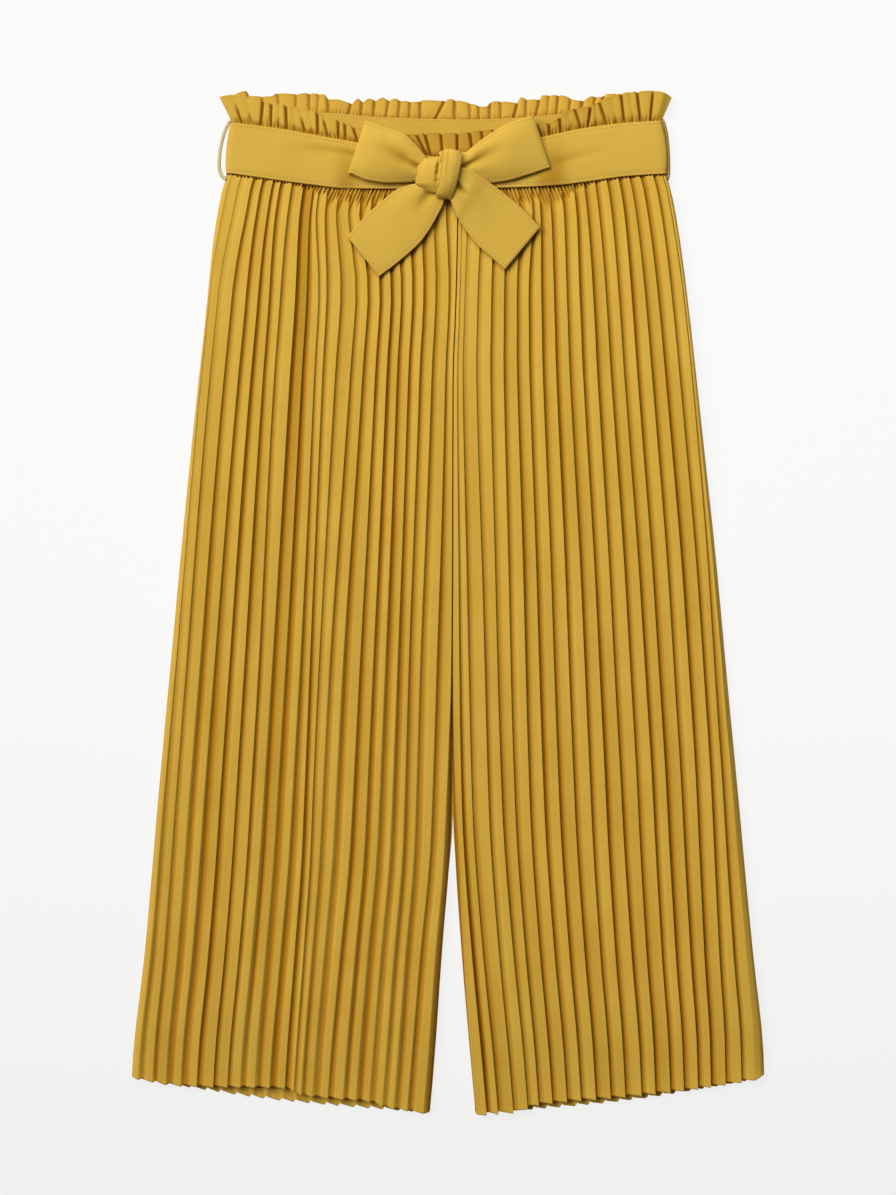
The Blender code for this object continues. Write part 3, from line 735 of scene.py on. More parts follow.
def leg_panel(node, panel, hem, tooth, settles, height_at, stations=STATIONS, rows=ROWS):
    """A pleated panel from seam to hem. Each crest hangs `tooth` lower than its fold at the hem.

    `settles` is the share of its height by which the panel lies lower at the hem.
    """
    hem_line = curve_through(hem, "x", "y")
    columns = [(0, 0.0)] + [(index, station) for index in range(len(panel.pleats)) for station in stations]
    ends = {}
    for index, station in columns:
        hangs = station / 2 if station <= 2 else 3 - station

        def x_at(y, index=index, station=station):
            return panel.place(index, station, y)[0]

        drop = tooth * mixed(TOOTH_FOLD, 1, hangs) if hangs > 0 else 0.0
        low = hang(lambda x, drop=drop: hem_line(x) - drop, x_at)
        ends[index, station] = hang(lambda x: seam_y(x) + SEAM_TUCK, x_at), low

    def place(column, row):
        high, low = ends[column]
        y = mixed(high, low, row)
        x, z = panel.place(*column, y)
        z, fold = height_at(x, y, z)
        z *= 1 - settles * smooth_step((row - SETTLES_FROM) / (1 - SETTLES_FROM))
        return x, y, z + HEM_LIP * smooth_step((row - LIP_FROM) / (LIP_TO - LIP_FROM)), fold

    return cloth_sheet(node + "_cloth", columns, rows, place, leg_crepe, [node])


print("rows down a front panel:", len(ROWS))

# %% Make the front panels
TEETH_LEFT, TEETH_RIGHT = 2.2, 3.4      # the right leg's pleats are sharper at the hem
FRONT_SETTLES = 0.28
SHIRR_DEPTH = 2.4        # depth of the gathers at the pleats' tops
SHIRR_SIDE, SHIRR_MIDDLE = 2.5, 24.0    # how far they run down, at the sides and in the middle
SHIRR_FROM, SHIRR_FADE = 120.0, 50.0    # they get longer inwards from this x, over this width
SHIRR_LEAN, LEAN_WIDTH = 0.42, 60.0     # they lean out from the middle, and less within this width
PLEATS_FORM = 0.8        # share of their length after which the pleats have their full depth
PRESSED = 0.25           # share of their depth that the pleats have at the seam
BELT_SWELL, SWELL_REACH = 0.2, 5.0      # the gathered tops of the pleats swell up beside the belt
BELT_SHADE, SHADE_REACH = 0.12, 2.5     # and the belt keeps light off them
SHADED_DEPTH = 3.9       # cloth this far below the crests gets a fold's full painted shade
LIT_SIDE = 6.0           # width of the open sides, where light comes in


def front_height(x, y, z):
    """Adds the gathers that run on from the casing, and gives the cloth's painted shade, in its folds and
    under the belt.
    """
    below = belt_edge_y(x) - y
    longest = mixed(SHIRR_SIDE, SHIRR_MIDDLE, smooth_step((SHIRR_FROM - abs(x)) / SHIRR_FADE))
    shown = smooth_step(below / (PLEATS_FORM * longest))
    z = CREST_TOP - (CREST_TOP - z) * mixed(PRESSED, 1.0, shown)
    across = x - SHIRR_LEAN * below * min(max(x / LEAN_WIDTH, -1.0), 1.0)
    shirr = SHIRR_DEPTH * front_gathers.stroke(across, below, longest)
    swell = BELT_SWELL * smooth_step(1 - below / SWELL_REACH)
    z = max(z - shirr + swell, LOWEST)
    from_side = min(x - SIDES["side_left"](y), SIDES["side_right"](y) - x)
    fold = (CREST_TOP - z) / SHADED_DEPTH * smooth_step(from_side / LIT_SIDE)
    return z, fold + BELT_SHADE * smooth_step(1 - below / SHADE_REACH)


def front_panel(node, panel, hem, tooth):
    return leg_panel(node, panel, hem, tooth, FRONT_SETTLES, front_height)


front_left = front_panel("front_leg_left", left_panel, FRONT_HEM_LEFT, TEETH_LEFT)
front_right = front_panel("front_leg_right", right_panel, FRONT_HEM_RIGHT, TEETH_RIGHT)

# %% [markdown]
# The back is the front turned over: its folds stand up and its crests lie on the table. It is out of
# sight but for its hem, so its pleats are even ones. The belt's back stretch lies under it and lifts it.

# %% Make the back panels
BACK_COUNT, BACK_WIDTH = 20, 10.0       # pleats on each, and about how wide one is
BACK_TEETH = 2.6
BACK_SETTLES = 0.45
BACK_LOW = 0.75          # top of the cloth where a pleat lies on the table
BACK_FLAT = 0.78         # share of the front's depth that is left under the front's weight
BACK_SHADE = 0.05        # light comes in under the front's hem
BELT_LIFT = 1.5          # the belt's back stretch lifts the waist by this
LIFT_PRESSED = 0.4       # and presses the pleats flatter by this share
LIFT_FROM, LIFT_TO = 262.0, 298.0


def back_height(x, y, z):
    lifted = smooth_step((y - LIFT_FROM) / (LIFT_TO - LIFT_FROM))
    fold_height = BACK_FLAT * (CREST_TOP + CREST_WAVE - z) * (1 - LIFT_PRESSED * lifted)
    return BACK_LOW + fold_height + BELT_LIFT * lifted, BACK_SHADE


def back_panel(node, left, right, hem, phase):
    widths = [BACK_WIDTH + math.sin(2.3 * count + phase) for count in range(BACK_COUNT)]
    pleats = [Pleat(width, width, width, width, 1.0, 1.0, 0.6) for width in widths]
    panel = PleatedPanel(pleats, left, right)
    return leg_panel(node, panel, hem, BACK_TEETH, BACK_SETTLES, back_height, BACK_STATIONS, BACK_ROWS)


back_left = back_panel("back_leg_left", "side_left", "under_left", BACK_HEM_LEFT, 0.0)
back_right = back_panel("back_leg_right", "under_right", "side_right", BACK_HEM_RIGHT, 1.0)

# %% [markdown]
# ## The casings and the frill
# Front and back each have a strip of cloth that makes the casing round the elastic and, above a row of
# stitching, the frill. The frill keeps the width that the cloth was cut to, so it stands in rounded
# waves with narrow dark folds between them. A simulation would place the folds where it likes. Here each
# fold that shows has a row: where it starts at the belt, where it ends at the free edge, and its depth.

# %% Tables of the frills
# low and edge are x, depth is in millimetres, and reach is how far up the frill the fold goes: 1 is the
# free edge
Fold = namedtuple("Fold", "low edge depth reach", defaults=(1.3,))
FRONT_FOLDS = (
    Fold(-163.4, -173.2, 1.0), Fold(-155.7, -163.0, 2.4, 0.75), Fold(-148.9, -152.0, 2.0, 0.5),
    Fold(-141.6, -139.8, 3.6), Fold(-134.0, -133.4, 3.0), Fold(-128.4, -127.6, 1.8, 0.5),
    Fold(-121.7, -122.6, 3.4), Fold(-115.4, -117.6, 1.4, 0.4), Fold(-107.8, -112.6, 2.6, 0.7),
    Fold(-102.4, -104.8, 1.6, 0.4), Fold(-98.0, -98.5, 3.6), Fold(-90.5, -94.4, 2.6, 0.9),
    Fold(-82.5, -82.6, 3.4), Fold(-77.0, -77.6, 2.8), Fold(-67.6, -71.4, 3.4),
    Fold(-58.0, -61.0, 1.8, 0.6), Fold(-48.5, -52.0, 3.0), Fold(-38.5, -43.0, 1.8, 0.7),
    Fold(-28.0, -36.5, 2.6), Fold(-17.6, -31.2, 3.6), Fold(-14.9, -23.4, 3.0), Fold(-12.0, -16.8, 3.6),
    Fold(-3.1, -4.6, 2.8), Fold(8.1, 7.9, 3.4), Fold(19.6, 17.4, 3.6), Fold(28.5, 26.2, 2.6),
    Fold(36.0, 35.4, 3.0), Fold(45.0, 43.6, 2.0, 0.6), Fold(54.0, 52.0, 3.0), Fold(63.0, 60.0, 2.0, 0.6),
    Fold(71.9, 67.9, 3.4), Fold(78.4, 77.4, 3.4), Fold(86.9, 85.7, 3.6), Fold(94.6, 91.6, 1.4, 0.4),
    Fold(102.1, 97.2, 2.6), Fold(107.2, 109.3, 4.0), Fold(113.6, 112.6, 1.4, 0.5),
    Fold(121.8, 115.7, 3.6), Fold(128.7, 125.2, 1.8, 0.4), Fold(135.1, 132.4, 3.4),
    Fold(141.2, 139.0, 1.4, 0.4), Fold(147.4, 144.6, 3.2), Fold(154.6, 156.8, 2.8, 1.1),
    Fold(162.6, 170.6, 1.0),
)
BACK_FOLDS = (
    Fold(-163.4, -173.2, 1.0), Fold(-155.6, -162.6, 1.4), Fold(-149.0, -152.0, 2.6),
    Fold(-139.0, -140.6, 1.2), Fold(-127.6, -128.6, 1.6), Fold(-115.1, -114.7, 1.4),
    Fold(-104.5, -104.9, 1.8), Fold(-98.6, -97.4, 0.9), Fold(-90.1, -90.6, 3.2), Fold(-75.0, -73.0, 2.2),
    Fold(-65.4, -64.6, 2.2), Fold(-56.0, -54.9, 2.0), Fold(-46.6, -44.2, 1.8), Fold(-37.0, -35.8, 1.8),
    Fold(-28.7, -27.9, 1.6), Fold(-20.4, -20.1, 1.8), Fold(-9.4, -1.6, 3.2), Fold(6.1, 6.3, 3.0),
    Fold(17.9, 17.3, 1.6), Fold(24.7, 24.3, 1.5), Fold(32.7, 32.9, 1.8), Fold(41.2, 41.0, 1.5),
    Fold(50.6, 54.0, 3.2), Fold(60.0, 60.6, 1.6), Fold(67.6, 70.6, 1.8), Fold(76.4, 77.8, 0.8),
    Fold(83.5, 84.9, 1.8), Fold(92.6, 94.4, 1.4), Fold(101.0, 103.6, 2.2), Fold(110.0, 113.4, 1.4),
    Fold(117.0, 119.4, 2.0), Fold(127.0, 130.0, 1.4), Fold(137.4, 141.0, 2.2), Fold(147.0, 151.6, 1.6),
    Fold(155.6, 161.8, 2.0), Fold(162.6, 170.6, 1.0),
)
FRONT_EDGE = (
    Point(-173.2, 384.6), Point(-163.0, 385.4), Point(-152.0, 384.4), Point(-141.0, 382.0),
    Point(-138.0, 380.0), Point(-123.0, 378.2), Point(-115.0, 376.0), Point(-99.0, 372.6),
    Point(-96.0, 370.0), Point(-89.5, 368.6), Point(-81.0, 365.6), Point(-72.0, 361.6),
    Point(-60.0, 359.2), Point(-45.0, 357.0), Point(-33.0, 355.6), Point(-15.0, 356.8), Point(7.0, 356.8),
    Point(27.0, 359.0), Point(38.0, 360.0), Point(67.0, 363.6), Point(78.0, 364.8), Point(86.0, 369.6),
    Point(91.0, 373.2), Point(96.0, 375.4), Point(104.0, 376.4), Point(109.0, 377.2), Point(114.0, 380.2),
    Point(125.0, 385.0), Point(137.0, 387.6), Point(155.5, 388.9), Point(164.0, 387.6),
    Point(170.6, 384.4),
)
BACK_EDGE = (
    Point(-173.2, 385.2), Point(-163.0, 386.8), Point(-152.4, 389.5), Point(-151.4, 385.6),
    Point(-141.0, 385.2), Point(-134.0, 385.2), Point(-130.0, 387.6), Point(-115.0, 387.0),
    Point(-108.0, 387.6), Point(-94.0, 386.6), Point(-90.0, 383.4), Point(-83.0, 382.6),
    Point(-72.5, 380.2), Point(-68.4, 383.3), Point(-63.7, 381.4), Point(-60.0, 383.4),
    Point(-54.3, 382.4), Point(-49.6, 384.2), Point(-44.4, 382.4), Point(-40.3, 383.4),
    Point(-34.4, 381.9), Point(-22.7, 380.9), Point(-19.0, 382.5), Point(-5.0, 381.8), Point(2.0, 383.0),
    Point(14.0, 380.8), Point(29.6, 377.2), Point(33.6, 381.4), Point(43.0, 381.3), Point(53.2, 380.2),
    Point(54.8, 384.4), Point(62.7, 382.8), Point(69.8, 382.7), Point(71.6, 385.9), Point(86.0, 386.1),
    Point(99.8, 382.0), Point(103.0, 382.2), Point(110.0, 385.2), Point(117.0, 384.6),
    Point(120.7, 387.0), Point(137.0, 387.4), Point(155.5, 388.6), Point(170.6, 384.8),
)
FRONT_STITCH = (
    Point(-173.2, 365.5), Point(-131.0, 360.6), Point(-71.0, 349.8), Point(-6.0, 338.0),
    Point(73.0, 353.8), Point(104.0, 360.0), Point(137.0, 364.2), Point(170.6, 366.0),
)
BACK_STITCH = (
    Point(-173.2, 368.5), Point(-96.0, 371.0), Point(-45.0, 367.5), Point(16.0, 366.0),
    Point(60.0, 367.6), Point(86.0, 370.0), Point(170.6, 368.5),
)
print("folds in the frills:", len(FRONT_FOLDS), "and", len(BACK_FOLDS))

# %% Make the casings and frills
GATHER_STEP = 0.46       # spacing of the strip's columns, fine enough for the gathers
PUCKER_REACH = 6.5       # the casing's gathers die out this far up the frill
FOLD_ENDS = 0.35         # a fold fades out over this share of the frill's height
FOLD_DIP = 1.25          # how much deeper the cloth dips than a fold's depth
STEEP_CURVE, GENTLE_CURVE = 1.3, 1.8
CASING_SHADE, FOOT_SHADE = 0.5, 0.6     # darkness of the gathers on the casing and at the frill's foot
FOOT_CURVE = 0.7         # how fast the frill rises from its foot
PUCKER_LEAST = 0.3       # share of that reach that even the flattest gather has
PUCKER_FILL = 0.4        # share of a fold that a gather fills
ARCH_OUT, ARCH_EVEN = 0.3, 0.6          # the free edge runs out by this where the cloth arches up
EDGE_LIP = 0.2           # it is turned in, and thicker by this
LIP_ROW, LIP_ROWS = 0.94, 0.03
SIDE_DROP = 4.0          # width over which the strip drops to its side edges
BAND_ROWS = (
    [-1.0, -0.9, -0.75, -0.5, -0.3, -0.2, -0.12, -0.06, -0.03, 0.0]
    + [0.05, 0.1, 0.16, 0.23, 0.31, 0.4, 0.49, 0.58, 0.67, 0.76, 0.84, 0.91, 0.95, 0.98, 1.0]
)
# Heights of the strip's top face: at the seam, in the casing's valleys, at the frill's foot and its free
# edge, at the bottom of its folds and at the strip's side edges. pucker is how high the gathers are, and
# arch how far the cloth arches up between two folds. steep and gentle are the widths of a fold's right
# and left side, tint is the fold's painted shade for each millimetre of depth, and scallop is the share
# of its depth by which the free edge dips there
Band = namedtuple("Band", "seam casing foot edge lowest side pucker arch steep gentle tint scallop")
FRONT_BAND = Band(6.3, 6.5, 8.7, 10.0, 5.9, 7.0, 1.9, 0.6, 0.9, 2.3, 0.24, 0.22)
BACK_BAND = Band(2.1, 2.1, 3.2, 4.4, 0.9, 4.6, 1.0, 0.8, 1.4, 2.7, 0.06, 0.16)
# The bow keeps light off the front frill beside it. x, and how dark the cloth is there
BOW_SHADE = (
    Point(-173.2, 0.02), Point(-90.0, 0.06), Point(-34.0, 0.26), Point(30.0, 0.30), Point(84.0, 0.20),
    Point(170.6, 0.08),
)
NO_SHADE = (Point(-173.2, 0.0), Point(170.6, 0.0))


def dip_at(folds, index, share, width, row, band):
    """How deep the frill dips at a share of the way from one fold to the next."""
    near = folds[index : index + 2]
    left, right = (fold.depth * smooth_step((fold.reach - row) / FOLD_ENDS) for fold in near)
    left *= max(0.0, 1 - share * width / band.steep) ** STEEP_CURVE
    right *= max(0.0, 1 - (1 - share) * width / band.gentle) ** GENTLE_CURVE
    return FOLD_DIP * max(left, right)


def waistband(node, folds, stitch, edge, band, shade, gathers, material):
    """A casing and its frill in one strip.

    Rows go from -1 at the seam through 0 at the stitching to 1 at the free edge.
    """
    stitch_line, edge_line, shade_at = (curve_through(table, "x", "y") for table in (stitch, edge, shade))
    columns = []
    for index, (fold, after) in enumerate(zip(folds, folds[1:])):
        count = max(4, round((after.edge - fold.edge) / GATHER_STEP))
        columns += [(index, step / count) for step in range(count)]
    columns.append((len(folds) - 2, 1.0))

    def in_casing(low, row):
        ridge = gathers.ridge(low)
        z = mixed(band.casing + band.pucker * ridge, band.seam, smooth_step((-row - 0.5) / 0.5))
        return low, mixed(stitch_line(low), seam_y(low), -row), z, CASING_SHADE * (1 - ridge)

    def in_frill(index, share, low, row):
        before, after = folds[index : index + 2]
        high = mixed(before.edge, after.edge, share)
        width = mixed(after.low - before.low, after.edge - before.edge, row)
        dip = dip_at(folds, index, share, width, row, band)
        foot, arch, ridge = stitch_line(low), math.sin(math.pi * share), gathers.ridge(low)
        y = mixed(foot, edge_line(high) - band.scallop * dip + ARCH_OUT * (arch - ARCH_EVEN), row)
        puckered = smooth_step(1 - (y - foot) / (PUCKER_REACH * (PUCKER_LEAST + gathers.height(low))))
        z = mixed(band.foot, band.edge - band.arch, row**FOOT_CURVE) + band.arch * arch * row
        z -= (band.foot - band.casing - band.pucker * ridge) * puckered
        z = max(z - dip * (1 - PUCKER_FILL * puckered), band.lowest)
        z += EDGE_LIP * smooth_step((row - LIP_ROW) / LIP_ROWS)
        # Painted shade: in the gathers at the frill's foot, in its folds, and where the bow keeps light off
        fold = FOOT_SHADE * (1 - ridge) * puckered + band.tint * dip + shade_at(low)
        return mixed(low, high, row), y, z, fold

    def place(column, row):
        index, share = column
        low = mixed(folds[index].low, folds[index + 1].low, share)
        x, y, z, fold = in_casing(low, row) if row <= 0 else in_frill(index, share, low, row)
        from_side = min(low - folds[0].low, folds[-1].low - low)
        return x, y, mixed(band.side, z, smooth_step(from_side / SIDE_DROP)), fold

    return cloth_sheet(node + "_cloth", columns, BAND_ROWS, place, material, [node])


band_front = waistband(
    "waistband_front", FRONT_FOLDS, FRONT_STITCH, FRONT_EDGE, FRONT_BAND, BOW_SHADE, front_gathers,
    leg_crepe,
)
band_back = waistband(
    "waistband_back", BACK_FOLDS, BACK_STITCH, BACK_EDGE, BACK_BAND, NO_SHADE, back_gathers,
    frill_crepe,
)

# %% [markdown]
# ## Stitches
# Stitches are small beads of thread in a row, a little sunk into the cloth. Hundreds of them are needed,
# so each is the simplest icosphere, drawn out along its row. A bump map would vanish at a slant.

# %% Sew rows of stitches
STITCH_PITCH = 2.4
STITCH_LONG, STITCH_HALF = 0.75, 0.36     # half a stitch's length, and half its width and height
STITCH_PROUD = 0.2


def sew(name, *rows):
    """Beads of thread along rows of points, in millimetres."""
    beads = bmesh.new()
    for row in rows:
        points = [Vector(point) for point in row]
        run = measure_run(points)
        for count in range(int(run[-1] / STITCH_PITCH)):
            at = (count + 0.5) * STITCH_PITCH
            step = min(bisect_right(run, at) - 1, len(points) - 2)
            ahead = points[step + 1] - points[step]
            middle = points[step] + ahead * ((at - run[step]) / ahead.length)
            turn = ahead.to_track_quat("X", "Z").to_matrix().to_4x4()
            size = Matrix.Diagonal((STITCH_LONG * MM, STITCH_HALF * MM, STITCH_HALF * MM, 1))
            matrix = Matrix.Translation(middle * MM) @ turn @ size
            bmesh.ops.create_icosphere(beads, subdivisions=1, radius=1.0, matrix=matrix)
    mesh = bpy.data.meshes.new(name)
    beads.to_mesh(mesh)
    beads.free()
    return finish_piece(name, mesh, seam_thread, [])


print("stitches in a centimetre:", round(10 / STITCH_PITCH, 1))

# %% [markdown]
# ## The facing
# Above the dip of the front the inside of the back casing shows. It is a smooth band with a folded top
# edge, sewn to the frill with one row of stitches.

# %% Make the facing
FACING_HALF = 150.0      # half its width
FACING_TOP = 5.0
FACING_WALL = 0.8
FACING_ROWS = (          # distances down from the stitches, from its folded edge to its lower edge
    -1.6, -1.2, -0.8, -0.4, 0.0, 0.4, 0.8, 1.5, 3.0, 5.0, 8.0, 12.0, 18.0, 27.0, 36.0,
)
WAVE, WAVE_LENGTH, WAVE_MIDDLE, WAVE_REACH = 0.14, 7.5, 4.0, 9.0    # the seam draws it into low waves
WAVE_DRIFT, DRIFT_LENGTH = 1.2, 21.0    # which aren't evenly spaced
SEAM_DEEP, SEAM_HALF = 0.22, 0.45       # the groove that the stitches lie in, which is also given painted shade
EDGE_ROUND, ROUND_FROM, ROUND_WIDTH = 0.5, 0.9, 0.8    # the folded edge rounds off
# Painted shade over the whole facing, and more in the seam's groove
FACING_SHADE = 0.1
back_stitch_line = curve_through(BACK_STITCH, "x", "y")


def facing_place(x, row):
    wave = math.sin(x / WAVE_LENGTH + WAVE_DRIFT * math.sin(x / DRIFT_LENGTH))
    wave *= WAVE * math.exp(-(((row - WAVE_MIDDLE) / WAVE_REACH) ** 2))
    groove = SEAM_DEEP * math.exp(-((row / SEAM_HALF) ** 2))
    rounded = EDGE_ROUND * smooth_step((-row - ROUND_FROM) / ROUND_WIDTH)
    return x, back_stitch_line(x) - row, FACING_TOP + wave - groove - rounded, FACING_SHADE + groove


facing = cloth_sheet(
    "waist_facing_cloth", [FACING_HALF * (step / 100 - 1) for step in range(201)], FACING_ROWS,
    facing_place, belt_crepe, ["waist_facing"], wall=FACING_WALL,
)
facing_stitches = sew("facing_stitches", [facing_place(step - FACING_HALF, 0.0)[:3] for step in range(301)])

# %% [markdown]
# ## Belt and bow
# The tie belt is a tube of cloth pressed flat and topstitched near both edges. Belt, loops, tails and
# knot are all stretches of it, so one helper lofts a strip through a few sections. Each section gives
# both ends, their heights, how far the middle bellies up, and how far it bulges sideways. Creases are soft
# troughs laid from one place to another. A crease with a negative depth is a ridge, and tint says
# how much less light gets to it.

# %% Loft strips of belt
Section = namedtuple("Section", "x1 y1 x2 y2 z1 z2 crown bulge", defaults=(0.0,))
Crease = namedtuple("Crease", "x1 y1 x2 y2 width depth tint", defaults=(0.0,))
BELT_WALL = 1.1
CROWN_CURVE = 2.6        # a strip's middle is flatter than a parabola
TAUT = 0.4               # a strip with less crown than this has weaker creases
STITCH_INSET = 2.3
SEAM_SINK, SINK_HALF, SINK_SHADE = 0.28, 0.55, 0.12    # the groove of the topstitching
EDGE_SINK, EDGE_WIDTH = 0.3, 0.6        # the tube's folded edge rounds off
STRIP_STEP = 1.3         # spacing of a strip's rows
EDGE_POINTS = 40         # points of a row of stitches for each section


def crease_share(crease, x, y):
    """How much of a crease is at a place: all of it where the crease starts, and less along it."""
    along = Vector((crease.x2 - crease.x1, crease.y2 - crease.y1))
    offset = Vector((x - crease.x1, y - crease.y1))
    share = offset.dot(along) / along.length_squared
    aside = abs(along.x * offset.y - along.y * offset.x) / along.length
    fade = smooth_step(1 - share) * smooth_step(1 + share * 4)
    return fade * math.exp(-((aside / crease.width) ** 2))


class Strip:
    """The surface of a stretch of belt. Shares go across it, and rows count its sections."""

    def __init__(self, sections, creases=()):
        self.sections = sections
        self.creases = creases
        self.lines = [through_rows(column) for column in zip(*sections)]

    def section(self, row):
        return Section(*(line(row) for line in self.lines))

    def place(self, share, row):
        here = self.section(row)
        x, y = mixed(here.x1, here.x2, share), mixed(here.y1, here.y2, share)
        width = math.hypot(here.x2 - here.x1, here.y2 - here.y1)
        bulge = here.bulge * 4 * share * (1 - share) / width
        x, y = x - (here.y2 - here.y1) * bulge, y + (here.x2 - here.x1) * bulge
        z = mixed(here.z1, here.z2, share)
        z += here.crown * (1 - abs(2 * share - 1) ** CROWN_CURVE)
        creased = smooth_step(here.crown / TAUT)
        trough = tint = 0.0
        for crease in self.creases if creased else ():
            part = creased * crease_share(crease, x, y)
            trough += part * crease.depth
            tint += part * crease.tint
        from_edge = min(share, 1 - share) * width
        groove = math.exp(-(((from_edge - STITCH_INSET) / SINK_HALF) ** 2))
        z -= trough + SEAM_SINK * groove + EDGE_SINK * smooth_step(1 - from_edge / EDGE_WIDTH)
        return x, y, z, tint + SINK_SHADE * groove

    def edge_row(self, start, end, far_side):
        """Points along one edge, where its stitches go."""
        points = []
        count = EDGE_POINTS * max(1, round(end - start))
        for step in range(count + 1):
            row = mixed(start, end, step / count)
            here = self.section(row)
            share = STITCH_INSET / math.hypot(here.x2 - here.x1, here.y2 - here.y1)
            x, y, z, _ = self.place(1 - share if far_side else share, row)
            points.append((x, y, z + STITCH_PROUD))
        return points

    def both_edges(self, start, end):
        return self.edge_row(start, end, False), self.edge_row(start, end, True)

    def rows(self, spacing):
        rows = [0.0]
        for index, (here, there) in enumerate(zip(self.sections, self.sections[1:])):
            length = max(
                math.dist((here.x1, here.y1, here.z1), (there.x1, there.y1, there.z1)),
                math.dist((here.x2, here.y2, here.z2), (there.x2, there.y2, there.z2)),
            )
            count = max(3, round(length / spacing))
            rows += [index + (step + 1) / count for step in range(count)]
        return rows


EDGE_SHARES = (0.0, 0.012, 0.03, 0.045, 0.06, 0.075, 0.095)
ACROSS = (
    EDGE_SHARES + tuple(0.13 + 0.74 * step / 20 for step in range(21))
    + tuple(1 - share for share in reversed(EDGE_SHARES))
)


def belt_strip(name, strip, node, spacing=STRIP_STEP, wall=BELT_WALL, lies_up=True):
    rows = strip.rows(spacing)
    return cloth_sheet(
        name, ACROSS, rows, strip.place, belt_crepe, [node], wall=wall, lies_up=lies_up
    )


print("columns across the belt:", len(ACROSS))

# %% Make the belt round the waist
BELT_LEFT = (
    Section(-165.2, 364.0, -168.4, 326.0, 6.2, 6.2, 0.0, -1.4),
    Section(-164.9, 364.1, -168.1, 326.0, 7.6, 7.6, 0.0, -1.4),
    Section(-164.2, 364.3, -167.3, 326.0, 9.0, 9.0, 0.0, -1.4),
    Section(-161.5, 364.4, -165.0, 326.0, 9.75, 9.75, 0.1),
    Section(-131.0, 360.6, -138.0, 322.2, 9.9, 9.9, 0.5),
    Section(-100.0, 355.0, -106.0, 317.8, 9.9, 9.9, 0.6),
    Section(-71.0, 350.0, -75.0, 314.6, 9.9, 9.9, 0.5),
    Section(-40.0, 344.0, -41.0, 314.4, 9.8, 9.8, 0.4),
    Section(-6.2, 338.0, -6.2, 316.0, 9.7, 9.7, 0.2),
)
BELT_RIGHT = (
    Section(-5.9, 338.0, -5.9, 316.0, 9.7, 9.7, 0.2),
    Section(30.0, 346.0, 30.0, 315.0, 9.8, 9.8, 0.4),
    Section(73.0, 354.0, 78.0, 316.6, 9.9, 9.9, 0.5),
    Section(104.5, 360.6, 104.5, 319.6, 9.9, 9.9, 0.6),
    Section(137.2, 364.6, 137.2, 324.0, 9.9, 9.9, 0.5),
    Section(159.6, 366.0, 163.0, 325.6, 9.75, 9.75, 0.1),
    Section(161.9, 366.0, 165.5, 325.8, 9.0, 9.0, 0.0, 2.0),
    Section(162.6, 366.0, 166.4, 325.8, 7.6, 7.6, 0.0, 2.0),
    Section(163.0, 366.0, 166.9, 325.8, 6.2, 6.2, 0.0, 2.0),
)
BELT_BACK = (
    Section(-165.2, 364.0, -168.4, 326.0, 6.1, 6.1, 0.0, -1.4),
    Section(-164.9, 364.1, -168.1, 326.0, 3.0, 3.0, 0.0, -1.4),
    Section(-164.0, 364.3, -167.0, 326.0, 0.9, 0.9, 0.0, -1.4),
    Section(-161.0, 364.4, -164.5, 326.0, 0.1, 0.1, 0.0),
    Section(159.2, 366.0, 162.6, 325.6, 0.1, 0.1, 0.0),
    Section(161.8, 366.0, 165.4, 325.8, 0.9, 0.9, 0.0, 2.0),
    Section(162.6, 366.0, 166.4, 325.8, 3.0, 3.0, 0.0, 2.0),
    Section(163.0, 366.0, 166.9, 325.8, 6.1, 6.1, 0.0, 2.0),
)
LEFT_CREASES = (
    Crease(-62.0, 339.0, -124.0, 349.8, 2.6, 1.0, 0.26),
    Crease(-96.0, 342.6, -138.0, 344.4, 3.4, 0.5, 0.08),
    Crease(-76.0, 316.0, -73.0, 356.0, 8.5, 1.0, 0.36),
)
RIGHT_CREASES = (
    Crease(79.0, 318.0, 70.0, 362.0, 9.0, -1.0),
    Crease(78.0, 318.0, 84.0, 362.0, 11.0, 0.0, 0.50),
    Crease(88.0, 335.6, 130.0, 347.4, 3.0, 0.7, 0.12),
)
left_belt = Strip(BELT_LEFT, LEFT_CREASES)
right_belt = Strip(BELT_RIGHT, RIGHT_CREASES)
belt_left = belt_strip("belt_front_left_cloth", left_belt, "belt_front_left")
belt_right = belt_strip("belt_front_right_cloth", right_belt, "belt_front_right")
belt_behind = belt_strip("belt_back_cloth", Strip(BELT_BACK), "belt_back", lies_up=False)
left_belt_stitches = sew("belt_left_stitches", *left_belt.both_edges(3, 8))
right_belt_stitches = sew("belt_right_stitches", *right_belt.both_edges(0, 5))

# %% [markdown]
# A bow loop runs out from the knot, turns over at its end, and comes back below. Gathered at the knot, it
# bellies up between its edges, and grooves fan out from the knot and fade.

# %% Make the bow's loops
LOOP_LEFT = (
    Section(-16.0, 338.0, -20.0, 321.0, 14.6, 14.2, 2.6),
    Section(-24.0, 347.5, -29.0, 319.0, 14.8, 14.2, 3.6),
    Section(-33.6, 356.4, -44.8, 318.5, 14.8, 14.0, 4.2),
    Section(-47.0, 360.8, -61.5, 320.7, 14.6, 14.0, 3.6),
    Section(-60.0, 365.1, -73.0, 325.6, 14.2, 13.6, 1.6),
    Section(-62.4, 365.6, -75.4, 325.7, 13.5, 13.0, 0.5),
    Section(-62.7, 365.4, -75.7, 325.7, 12.5, 12.2, 0.0),
    Section(-61.6, 364.8, -74.6, 325.6, 11.3, 11.3, 0.0),
    Section(-58.0, 363.6, -71.0, 324.6, 10.7, 10.7, 0.0),
    Section(-36.0, 356.6, -46.0, 319.2, 10.7, 10.7, 0.0),
    Section(-18.0, 339.0, -22.0, 321.6, 10.7, 10.7, 0.0),
)
